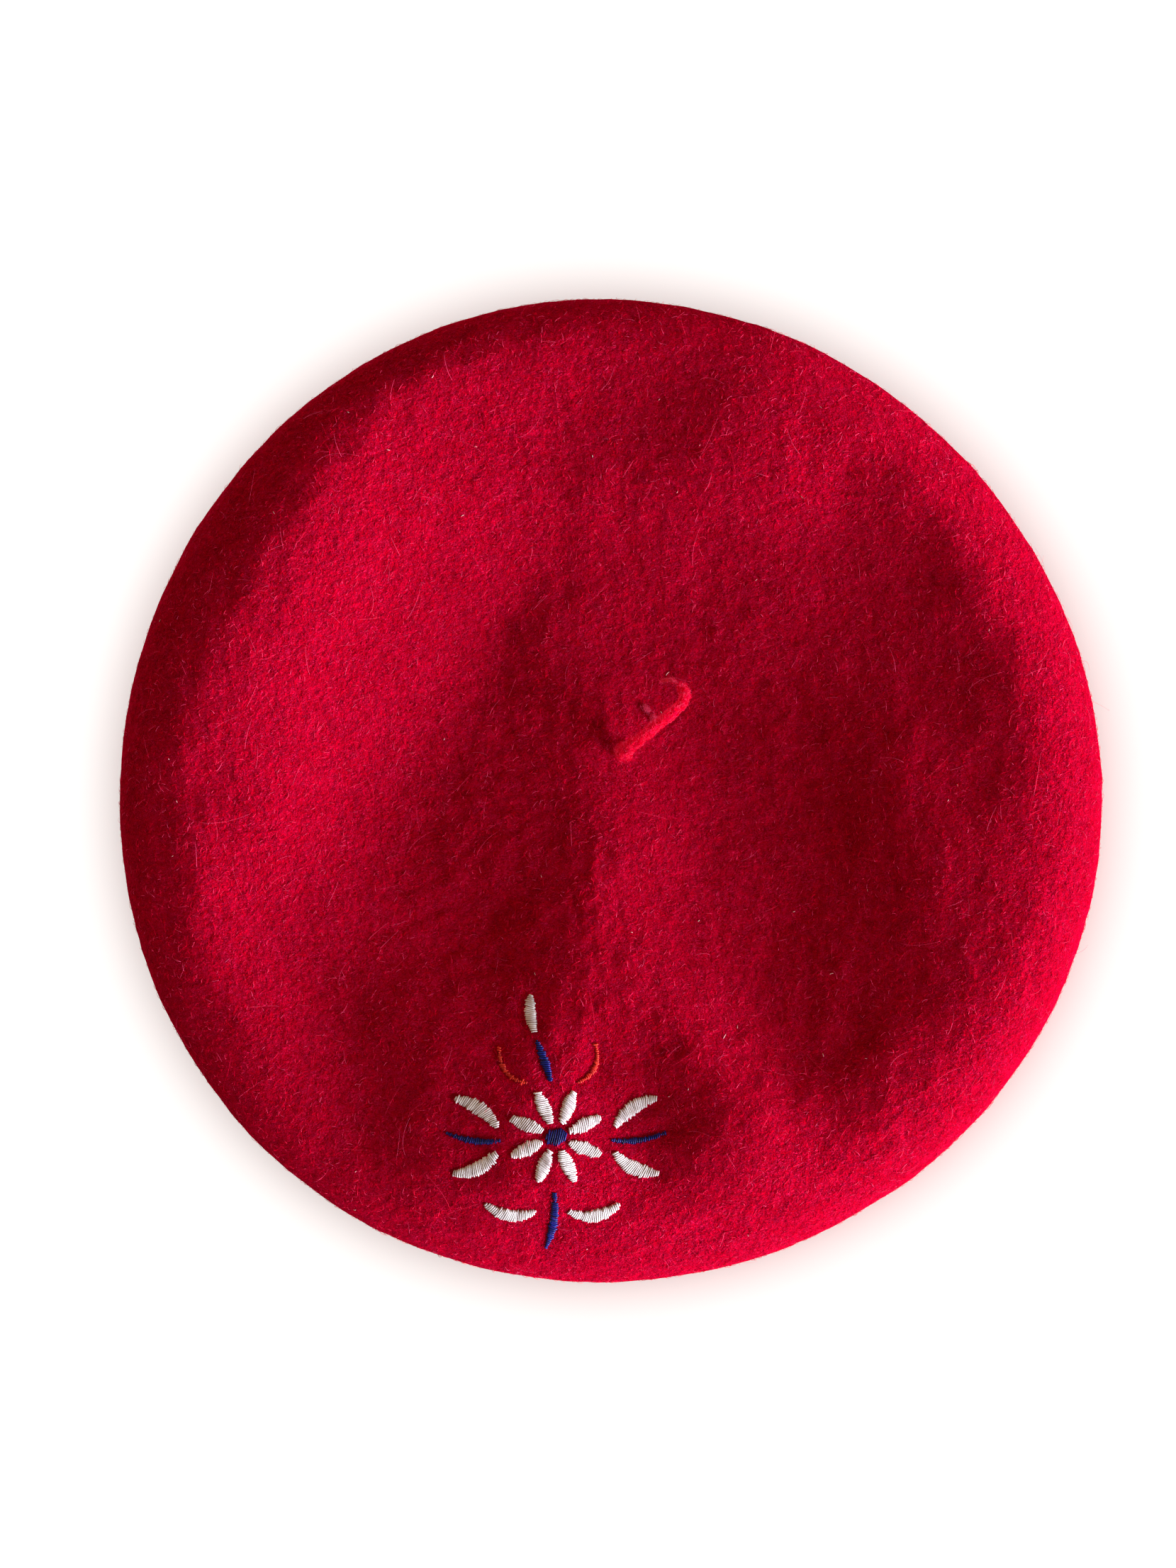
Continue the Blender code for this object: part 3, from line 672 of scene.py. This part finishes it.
def nap_paths(spots, normals, length, lift, rng, steps):
    """Curved fibre paths that leave the surface, arch over it and lie back down, most of them one way."""
    count = len(spots)
    angle = np.radians(rng.normal(NAP_HEADING, NAP_WANDER, count))
    way = np.stack([np.cos(angle), np.sin(angle), np.zeros(count)], axis=-1)
    way += 0.25 * rng.normal(size=(count, 3))
    way = unit(way - normals * np.sum(way * normals, axis=-1, keepdims=True))
    across = np.cross(normals, way)
    t = np.linspace(0, 1, steps + 1)[:, None]
    reach = (length * np.exp(rng.normal(0, 0.35, count)))[:, None, None]
    rise = (lift * rng.uniform(0.3, 1.6, count))[:, None, None]
    bend = (NAP_CURL * rng.normal(size=count))[:, None, None]
    path = spots[:, None] + way[:, None] * reach * t
    path = path + across[:, None] * reach * bend * t**2
    return path + normals[:, None] * (rise * np.sin(t * NAP_ARCH) - NAP_ROOT_DEPTH)


def nap(name, points, normals, count, length, lift, radius, shade, seed, keep, steps, material):
    """Loose fibres on a grid of surface points, as one mesh of tapering tubes."""
    rng = np.random.default_rng(seed)
    count = int(count * DETAIL)
    spots, out = scatter(points, normals, count, rng, keep)
    paths = nap_paths(spots, out, length, lift, rng, steps)
    taper = np.linspace(1.0, 0.45, steps + 1) * radius * rng.uniform(0.7, 1.3, (count, 1))
    tone = np.clip(rng.normal(shade, 0.2, count), 0, 1)
    ups = np.repeat(out[:, None], steps + 1, axis=1)
    return build_tubes(name, paths, taper, 3, ups, material, tone)


def wisps(name, line, count, follow, stray, shade, seed):
    """Loose fibres strung along a line: each follows it for a share of its length and strays from it."""
    rng = np.random.default_rng(seed)
    steps = 7
    at = np.clip(rng.random((count, 1)) + np.linspace(0, follow, steps), 0, 1)
    known = np.linspace(0, 1, len(line))
    path = np.stack([np.interp(at, known, line[:, i]) for i in range(3)], axis=-1)
    path += stray * rng.normal(size=(count, 1, 3))
    path += 0.5 * stray * np.cumsum(rng.normal(size=(count, steps, 3)), axis=1)
    radii = np.linspace(1.0, 0.5, steps) * WISP_RADIUS
    tone = np.clip(rng.normal(shade, 0.15, count), 0, 1)
    return build_tubes(name, path, radii, 3, np.array([0.2, 0.1, 1.0]), NAP_RED, tone)


def make_felt():
    """The felt and its nap: returns the outer side's points, normals and a surface to seat things on."""
    points = felt_points()
    normals = grid_normals(points)
    felt_shell(points)
    rows = np.arange(points.shape[0])[:, None] * np.ones(points.shape[1])
    crown = (rows > LAST_UNDER_RING).astype(float)
    under = ((rows > LAST_HEM_RING) & (rows <= LAST_UNDER_RING)).astype(float)
    plans = (  # name, fibres, length, lift and radius in mm, shade, seed, where, steps, material
        ("nap_crown_fine", 9500, 1.3, 0.40, 0.05, 0.15, 21, crown, 3, NAP_RED),
        ("nap_crown_pale", 9500, 1.4, 0.45, 0.055, 0.66, 22, crown, 3, NAP_RED),
        ("nap_crown_tufts", 9500, 0.9, 0.45, 0.07, 0.45, 25, crown, 3, NAP_RED),
        ("nap_under", 9500, 1.5, 0.30, 0.045, 0.3, 23, under, 3, NAP_RED),
        ("stray_hairs", 420, 6.5, 0.9, 0.035, 0.75, 24, crown, 8, NAP_RED),
        ("pale_specks", 40, 0.7, 0.2, 0.12, 0.6, 26, crown, 3, LINT_PALE),
    )
    for name, count, length, lift, radius, *rest in plans:
        obj = nap(name, points, normals, count, length * MM, lift * MM, radius * MM, *rest)
        finish_piece(obj, "wool_felt")
    faces = grid_faces(*points.shape[:2])
    surface = BVHTree.FromPolygons(points.reshape(-1, 3).tolist(), faces.tolist())
    return points, normals, surface


def seat(surface, plan):
    """The felt's outer side above each plan position: points and normals."""
    flat = plan.reshape(-1, 2)
    hits = [surface.ray_cast(Vector((x, y, 0.2)), Vector((0, 0, -1))) for x, y in flat]
    spots = np.array([hit[0] for hit in hits]).reshape(*plan.shape[:-1], 3)
    out = np.array([hit[1] for hit in hits]).reshape(*plan.shape[:-1], 3)
    return spots, out * np.sign(out[..., 2:])


# ---- Crown stem ----


def stem_line():
    """The stem's centre line from inside the felt to its hooked tip."""
    along = np.array([math.cos(STEM_HEADING), math.sin(STEM_HEADING), 0])
    aside = np.array([-along[1], along[0], 0])
    line = [along * reach * MM + UP * height * MM for reach, height in STEM_ARCH]
    bend = line[-1]
    for degrees in (32, 64, 92, 116):
        a = math.radians(degrees)
        hook = along * (STEM_HOOK * math.sin(a)) + aside * (STEM_HOOK * (1 - math.cos(a)))
        line.append(bend + hook - UP * (STEM_HOOK_DROP * a / 2))
    return STEM_ROOT + even_path(line, STEM_STEP, 8), along


def make_stem():
    """A felted roll, fused into the crown by a flared foot, with a rounded tip and fuzz all over."""
    line, along = stem_line()
    share = np.linspace(0, 1, len(line))
    length = STEM_STEP * (len(line) - 1)
    from_foot, from_tip = share * length, (1 - share) * length
    radius = STEM_RADIUS * (1.02 - 0.2 * share) + 1.5 * MM * np.exp(-((from_foot / (2.6 * MM)) ** 2))
    radius *= np.sqrt(np.clip(from_tip / (1.3 * MM), 0.03, 1))
    verts, faces = tube_arrays(line[None], radius[None], STEM_SIDES, np.array([0.3, -0.2, 1.0]))
    grid = verts.reshape(len(line), STEM_SIDES, 3)
    out = unit(grid - line[:, None])
    lumps = 0.16 * random_field(grid, 3.2 * MM, 31) + 0.07 * random_field(grid, 1.1 * MM, 32)
    grid = grid + out * (lumps * MM * np.clip(from_tip / (2 * MM), 0, 1)[:, None])[..., None]
    # Its material is the lighter stem felt, with painted light
    stem = build_mesh("stem_felt", grid.reshape(-1, 3), faces, STEM_PAINTED_LIT_RED)
    all_over = np.ones(grid.shape[:2])
    fuzz = nap("stem_fuzz", grid, out, 4600, 0.9 * MM, 0.45 * MM, 0.045 * MM, 0.52, 33, all_over, 3, NAP_RED)
    tip, aside = line[-1], np.array([-along[1], along[0], 0])
    curl = np.array([tip, tip + (aside * 2.2 - along * 0.2) * MM, tip + (aside * 3.9 - along * 3.0) * MM])
    curl[:, 2] -= np.array([0, 0.6, 2.2]) * MM
    wisp = wisps("stem_wisp", curl, 130, 0.4, 0.30 * MM, 0.75, 34)
    bend = ("stem", STEM_ROOT - UP * 0.5 * MM, STEM_ROOT + along * 1.8 * MM + UP * 3.2 * MM)
    finish_piece(stem, "wool_felt", "crown_stem", bend=bend)
    finish_piece(fuzz, "wool_felt", bend=bend)
    finish_piece(wisp, "wool_felt", bend=bend)


def make_lint(surface):
    """Two small tufts of loose wool caught on the felt beside the stem."""
    tufts = (("lint_tuft_pale", (6.3, 12.7), 130, 0.95, 35),
             ("lint_tuft_red", (8.4, 10.0), 190, 0.85, 36))
    bent_line = np.array([[-0.6, 0.8], [0.1, 0.2], [0.6, -0.8]])
    for name, place, count, shade, seed in tufts:
        plan = (STEM_ROOT[:2] / MM + place + bent_line) * MM
        spots, out = seat(surface, plan)
        tuft = wisps(name, spots + out * 0.5 * MM, count, 0.7, 0.34 * MM, shade, seed)
        finish_piece(tuft, "wool_felt")


def make_darning():
    """The stem's end is sewn down inside the crown: a spiral of thread crossed by radial stitches."""
    low, high = np.array(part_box("stem_darning"))
    centre = (low + high) / 2
    reach = (high[0] - low[0]) / 2
    turn = np.linspace(0, math.tau * 6, 220)
    spiral = polar(reach * (0.08 + 0.8 * turn / turn[-1]), turn, 0.15 * MM * np.sin(turn * 3.3))
    rng = np.random.default_rng(41)
    spokes = []
    for angle in np.linspace(0, math.tau, 13)[:-1] + rng.normal(0, 0.1, 12):
        t = np.linspace(0.1, 1.0, 9)[:, None]
        flat = np.array([math.cos(angle), math.sin(angle), 0]) * reach * t
        spokes.append(flat - UP * 0.45 * MM * np.sin(t * math.pi) ** 0.5)
    build = (("darning_spiral", spiral[None], 0.26), ("darning_spokes", np.array(spokes), 0.2))
    for name, paths, radius in build:
        obj = build_tubes(name, centre + paths, radius * MM, 6, UP, SEWING_THREAD, 0.6)
        finish_piece(obj, "sewing_thread", "stem_darning")


# ---- Embroidery ----


def satin_threads(surface, stroke, rng, disc):
    """Threads side by side across a stroke, each arching from edge to edge: paths, normals and radii."""
    length = reach_along(bend_points(stroke, np.linspace(0, 1, 20)))[-1]
    count = max(4, round(length / THREAD_PITCH))
    t = (np.arange(count) + 0.5) / count
    centre = bend_points(stroke, t)
    ahead, behind = np.minimum(t + 0.03, 1), np.maximum(t - 0.03, 0)
    tangent = unit(bend_points(stroke, ahead) - bend_points(stroke, behind))
    slant = THREAD_SLANT + rng.normal(0, 0.03, count)
    across = np.stack(turned(tangent[:, 0], tangent[:, 1], slant), axis=-1)
    half = half_width(stroke, t)
    if disc:
        half = stroke[3] * MM * np.sqrt(np.clip(1 - (2 * t - 1) ** 2, 0.02, 1))
    s = np.linspace(-1, 1, 9)
    reach = (half * 0.86 + rng.normal(0, 0.17 * MM, count))[:, None] * s
    plan = centre[:, None] + across[:, None] * reach[..., None]
    spots, out = seat(surface, plan)
    out = np.repeat(unit(out.mean(axis=1, keepdims=True)), len(s), axis=1)
    dome = np.sqrt(np.clip(1 - s**2, 0, 1))
    puff = np.clip(half / (1.1 * MM), 0.35, 1)[:, None]
    lift = (0.14 + 0.36 * dome * puff) * MM - 0.5 * MM * (np.abs(s) == 1)
    radii = THREAD_RADIUS * rng.uniform(0.9, 1.1, (count, 1))
    return spots + out * lift[..., None], out, radii


def make_stitches(surface):
    """The sprig in satin stitch, and the flat bobbin threads behind it on the crown's inner side."""
    sets = (("white_stitches", WHITE_STROKES, WHITE_THREAD, "white_thread", 51),
            ("blue_stitches", BLUE_STROKES, BLUE_THREAD, "blue_thread", 52),
            ("red_stitches", RED_STROKES, RED_THREAD, "red_thread", 53))
    bobbin = []
    for name, strokes, material, slot, seed in sets:
        rng = np.random.default_rng(seed)
        made = [satin_threads(surface, stroke, rng, node == "flower_centre")
                for node, stroke in strokes.items()]
        paths, ups, radii = (np.concatenate(parts) for parts in zip(*made))
        tone = np.clip(rng.normal(0.62, 0.36, len(paths)), 0, 1)
        obj = build_tubes(name, paths, radii, 6, ups, material, tone)
        finish_piece(obj, slot, *strokes)
        bobbin.append((paths, ups))
    paths, ups = (np.concatenate(parts) for parts in zip(*bobbin))
    centres = paths.mean(axis=1, keepdims=True)
    paths = centres + (paths - centres) * 0.85 - ups * (FELT + 1.5 * MM)
    obj = build_tubes("bobbin_threads", paths, 0.13 * MM, 5, ups, WHITE_THREAD, 0.5)
    finish_piece(obj, "white_thread")


def make_backing(points, normals):
    """The stabiliser sheet behind the stitching: a piece of the crown's grid, moved inside the felt."""
    radius = np.hypot(points[..., 0], points[..., 1])[:, 0]
    angle = np.arctan2(points[0, :, 1], points[0, :, 0])
    on_crown = np.arange(len(radius)) > LAST_ROLL_RING
    rows = np.flatnonzero((radius > 53 * MM) & (radius < 126 * MM) & on_crown)
    columns = np.flatnonzero((angle > math.radians(-120)) & (angle < math.radians(-75)))
    patch = points[np.ix_(rows, columns)] - normals[np.ix_(rows, columns)] * (FELT + 0.6 * MM)
    verts, faces = sheet_arrays(patch, 0.4 * MM)
    obj = build_mesh("backing_sheet", verts, faces, BACKING_WHITE)
    finish_piece(obj, "stabiliser", "embroidery_backing")


# ---- Band, seams and drawcord ----


def make_band():
    """The ribbon round the opening, with its ribs."""
    ribs, per_rib = 520, 4
    line = even_path([(r * MM, 0, z * MM) for r, z in BAND_LINE], 1.0 * MM, 3)[:, [0, 2]]
    inner = line - np.array([TAPE, 0])
    section = np.concatenate([line[::3], inner[::-1]])
    ribbed = np.concatenate([np.zeros(len(line[::3])), np.ones(len(inner))])
    angle = np.linspace(0, math.tau, ribs * per_rib, endpoint=False)
    rib = -0.09 * MM * np.cos(angle * ribs)
    sway = 0.25 * MM * (np.cos(angle * 5 + 1) + np.cos(angle * 9 + 4)) / 2
    above_hem = smooth_step((section[:, 1:] - 5 * MM) / (8 * MM))
    radius = section[:, :1] + ribbed[:, None] * rib + sway * above_hem * 0.6
    verts = polar(radius, angle, section[:, 1:])
    faces = grid_faces(len(section), len(angle), wrap_rows=True)
    obj = build_mesh("band_ribbon", verts.reshape(-1, 3), [faces[:, ::-1]], RIBBON_BLACK)
    finish_piece(obj, "ribbon", "sweatband")


def running_stitches(radius, height, count, length, rng):
    """A ring of stitches seen from inside the opening, their ends sunk into the ribbon."""
    angle = np.linspace(0, math.tau, count, endpoint=False) + rng.normal(0, 0.0015, count)
    t = np.linspace(-0.5, 0.5, 7)
    a = angle[:, None] + t * length / radius
    r = radius + 0.75 * MM * (2 * np.abs(t)) ** 2.5
    return polar(r, a, height + rng.normal(0, 0.08 * MM, (count, 1)))


def make_band_stitches():
    """The two rings of stitches that hold the ribbon."""
    rng = np.random.default_rng(61)
    seams = ("band_seam_lower", "band_seam_upper")
    rings = []
    for node in seams:
        low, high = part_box(node)
        rings.append(running_stitches(high[0] - 0.3 * MM, (low[2] + high[2]) / 2, 176, 2.3 * MM, rng))
    paths = np.concatenate(rings)
    tone = rng.uniform(0.3, 0.9, len(paths))
    obj = build_tubes("band_stitches", paths, 0.24 * MM, 6, UP, SEWING_THREAD, tone)
    finish_piece(obj, "sewing_thread", *seams)


def strands(path, radius, lay):
    """The paths of three strands twisted round a path, one turn in every lay's length."""
    reach = reach_along(path)
    tangent = unit(np.gradient(path, axis=0))
    side = unit(np.cross(tangent, CORD_UP))
    lift = np.cross(side, tangent)
    made = []
    for start in (0, 1, 2):
        phase = (math.tau * (reach / lay + start / 3))[:, None]
        made.append(path + 0.47 * radius * (np.cos(phase) * side + np.sin(phase) * lift))
    return np.array(made)


def cord(name, path, radius):
    """A twisted cord along a path."""
    return build_tubes(name, strands(path, radius, 4.5 * radius), 0.55 * radius, 7, CORD_UP, CORD_BLACK)


def knot_line(centre, size, turn, count):
    """A trefoil, drawn tight and turned about Y, for a knot of this overall radius."""
    t = np.linspace(0, math.tau, count)
    x, z = turned(np.sin(t) + 2 * np.sin(2 * t), -1.5 * np.sin(3 * t), turn)
    line = np.stack([x, np.cos(t) - 2 * np.cos(2 * t), z], axis=-1)
    return centre + line * (size * 0.62 / 3)


def make_drawcord():
    """The cord in the ribbon's channel, its two ends brought through to the knot at the back."""
    ring, height = CORD_RING
    start = math.radians(90) + CORD_GAP_ANGLE
    angle = np.linspace(start, start + math.tau - 2 * CORD_GAP_ANGLE, 240)
    loop = polar(ring, angle, height)
    into = KNOT_CENTRE + np.array([[-1.6, 1.0, 0.4], [1.6, 1.0, 0.4]]) * MM
    line = np.concatenate([into[:1], [loop[0] + (into[0] - loop[0]) * 0.45], loop,
                           [loop[-1] + (into[1] - loop[-1]) * 0.45], into[1:]])
    obj = cord("drawcord_twist", even_path(line, 0.7 * MM, 4), CORD_RADIUS)
    finish_piece(obj, "cord", "drawcord")
    knot = cord("knot_twist", knot_line(KNOT_CENTRE, KNOT_RADIUS, 0.6, 70), 0.78 * MM)
    finish_piece(knot, "cord", "cord_knot")


def frayed_tip(name, centre, heading, seed):
    """Loose yarns that spread out past an end knot and sink to the table."""
    count, steps = 26, 6
    rng = np.random.default_rng(seed)
    tips = centre + heading * MM + 0.35 * MM * rng.normal(size=(count, 3))
    t = np.linspace(0, 1, steps)[:, None]
    spread = 0.22 * rng.normal(size=(count, 3))
    spread[:, 2] = np.abs(spread[:, 2]) * 0.3
    fray = tips[:, None] + (heading + spread)[:, None] * 4.2 * MM * t * rng.uniform(0.6, 1, (count, 1, 1))
    fray[..., 2] = np.maximum(fray[..., 2] - 1.2 * MM * t[:, 0] ** 2, 0.25 * MM)
    return build_tubes(name, fray, 0.11 * MM, 5, UP, CORD_BLACK)


def make_tail(side, sign, seed):
    """One free end of the cord: from the knot down to the table, then a small knot and a frayed tip."""
    heading = np.array([sign * math.sin(TAIL_ANGLE), -math.cos(TAIL_ANGLE), 0])
    resting = CORD_RADIUS + TABLE_GAP
    t = np.linspace(0, 1, 30)
    reach = 1.2 * MM + (TAIL_LENGTH - 1.2 * MM) * t
    drop = smooth_step((reach / TAIL_LENGTH - 0.08) * 3)
    height = (KNOT_CENTRE[2] - 0.6 * MM) * (1 - drop) + resting * drop
    aside = np.array([-heading[1], heading[0], 0])
    wave = 0.5 * MM * np.sin(t * 7 + sign)
    flat = KNOT_CENTRE * (1, 1, 0)
    line = flat + heading * reach[:, None] + aside * wave[:, None] + UP * height[:, None]
    centre = flat + heading * (TAIL_LENGTH + TAIL_END_RADIUS) + UP * (TAIL_END_RADIUS + TABLE_GAP)
    twist = cord(f"tail_{side}_twist", even_path(line, 0.6 * MM, 4), CORD_RADIUS)
    knot = cord(f"tail_{side}_knot", knot_line(centre, TAIL_END_RADIUS, 1.2 + sign, 50), 0.55 * MM)
    fray = frayed_tip(f"tail_{side}_fray", centre, heading, seed)
    bend = (f"tail_{side}", KNOT_CENTRE + heading * MM, KNOT_CENTRE + heading * 6 * MM)
    finish_piece(twist, "cord", f"cord_tail_{side}", bend=bend)
    finish_piece(knot, "cord", f"cord_end_{side}", bend=bend)
    finish_piece(fray, "cord", bend=bend)


# ---- Care label ----


def label_line(inward):
    """The folded tape's centre line: out to the fold and back, and each point's share of the way out."""
    half = 26
    share = np.concatenate([np.linspace(0, 1, half), np.linspace(1, 0, half) + 0.004])
    layer = np.concatenate([np.full(half, 1.0), np.full(half, -1.0)])
    layer[half - 1 : half + 1] *= 0.55
    droop = LABEL_DROOP * (1 - 0.25 * share)
    along = inward * np.cos(droop)[:, None] - UP * np.sin(droop)[:, None]
    line = LABEL_HINGE + along * (LABEL_LENGTH * share)[:, None] + UP * (layer * 0.17 * MM)[:, None]
    return line, share


def make_label():
    """A blank satin tape folded in two, sewn in by its ends and drooping into the opening."""
    inward = np.array([-math.cos(LABEL_ANGLE), -math.sin(LABEL_ANGLE), 0])
    sideways = np.array([inward[1], -inward[0], 0])
    line, share = label_line(inward)
    across = np.linspace(-0.5, 0.5, 15)
    grid = line[:, None] + sideways * (across * LABEL_WIDTH)[:, None]
    ripple = 0.5 * MM * random_field(grid * (1, 1, 0), 30 * MM, 71) * smooth_step(share * 1.5)[:, None]
    verts, faces = sheet_arrays(grid + UP * ripple[..., None], 0.16 * MM)
    obj = build_mesh("label_tape", verts, faces, LABEL_WHITE)
    bend = ("label", LABEL_HINGE + inward * 0.5 * MM, LABEL_HINGE + inward * 5 * MM)
    finish_piece(obj, "label", "care_label", bend=bend)
    along_seam = np.linspace(-0.46, 0.46, 9)
    spots = LABEL_HINGE + inward * 1.2 * MM + sideways * (along_seam * LABEL_WIDTH)[:, None]
    t = np.linspace(-0.5, 0.5, 7)
    sink = (0.75 - 3.2 * t**2) * MM
    paths = spots[:, None] + sideways * (t * 2.2 * MM)[:, None] - UP * sink[:, None]
    stitches = build_tubes("label_stitches", paths, 0.2 * MM, 6, UP, SEWING_THREAD, 0.6)
    finish_piece(stitches, "sewing_thread")


# ---- Studio ----


def floor_material():
    """Matte pale grey with a barely uneven tone."""
    tree = Tree("pale_floor")
    tone = tree.ramp(tree.noise(3.0, 2.0), (0.3, (0.60, 0.60, 0.60)), (0.7, (0.62, 0.62, 0.62)))
    tree.set(Base_Color=tone, Roughness=0.9)
    return tree.material


def make_floor():
    size = 6.0
    corners = [(-size, -size, 0), (size, -size, 0), (size, size, 0), (-size, size, 0)]
    floor = build_mesh("studio_floor", corners, [np.array([[0, 1, 2, 3]])], floor_material(), smooth=False)
    floor.location.z = -0.2 * MM
    floor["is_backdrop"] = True
    return floor


def group(name, objects):
    """A collection of these objects, for a light to be limited to."""
    made = bpy.data.collections.new(name)
    for obj in objects:
        made.objects.link(obj)
    return made


def sun(name, azimuth, elevation, strength, spread, colour=(1, 1, 1)):
    """A distant lamp: where it stands and how wide it is in degrees."""
    data = bpy.data.lights.new(name, "SUN")
    data.energy = strength
    data.angle = math.radians(spread)
    data.color = colour
    light = bpy.data.objects.new(name, data)
    bpy.context.scene.collection.objects.link(light)
    a, e = math.radians(azimuth), math.radians(elevation)
    towards = Vector((math.cos(a) * math.cos(e), math.sin(a) * math.cos(e), math.sin(e)))
    light.rotation_mode = "QUATERNION"
    light.rotation_quaternion = towards.to_track_quat("Z", "Y")
    light.location = towards * 2
    return light


def make_studio(floor):
    """A low key from the lower right, as from a window, soft fill all round, and a floor lit on its own."""
    world = bpy.data.worlds.new("studio")
    bpy.context.scene.world = world
    world.use_nodes = True
    nodes, links = world.node_tree.nodes, world.node_tree.links
    fill, seen = nodes["Background"], nodes.new("ShaderNodeBackground")
    fill.inputs["Color"].default_value = (1.0, 0.66, 0.38, 1)
    fill.inputs["Strength"].default_value = 0.18
    seen.inputs["Color"].default_value = (1, 1, 1, 1)
    seen.inputs["Strength"].default_value = 1.0
    path, mix = nodes.new("ShaderNodeLightPath"), nodes.new("ShaderNodeMixShader")
    links.new(path.outputs["Is Camera Ray"], mix.inputs[0])
    links.new(fill.outputs[0], mix.inputs[1])
    links.new(seen.outputs[0], mix.inputs[2])
    links.new(mix.outputs[0], nodes["World Output"].inputs["Surface"])
    wash = sun("floor_wash", 0, 90, 5.4, 80)
    wash.light_linking.receiver_collection = group("lit_by_wash", [floor])
    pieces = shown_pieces()
    cool, warm = (1.0, 1.0, 1.12), (1.0, 0.7, 0.45)
    low = sun("key_low", -18, 5, 5.2, 20, cool)
    for light in (sun("key", -31, 18, 4.9, 32, cool), low, sun("back", 120, 8, 0.9, 50, warm)):
        light.light_linking.receiver_collection = group(f"lit_by_{light.name}", pieces)
    # The stem and the lint beside it would throw long hard shadows in the low light
    cast = [obj for obj in pieces if not obj.name.startswith(("stem_", "lint_"))]
    low.light_linking.blocker_collection = group("casts_low_shadow", cast)
    bpy.context.scene.view_settings.view_transform = "Standard"


def make_camera():
    """Straight above, a little to the upper left of the beret's middle."""
    data = bpy.data.cameras.new("camera")
    data.lens = 100
    data.sensor_width = 36
    camera = bpy.data.objects.new("camera", data)
    bpy.context.scene.collection.objects.link(camera)
    seen_height = 446.9 * MM
    camera.location = (-6.0 * MM, 2.0 * MM, RIM_Z + seen_height * data.lens / data.sensor_width)
    bpy.context.scene.camera = camera


points, normals, surface = make_felt()
make_stem()
make_lint(surface)
make_darning()
make_stitches(surface)
make_backing(points, normals)
make_band()
make_band_stitches()
make_drawcord()
make_tail("left", -1, 81)
make_tail("right", 1, 82)
make_label()
floor = make_floor()
make_studio(floor)
make_camera()
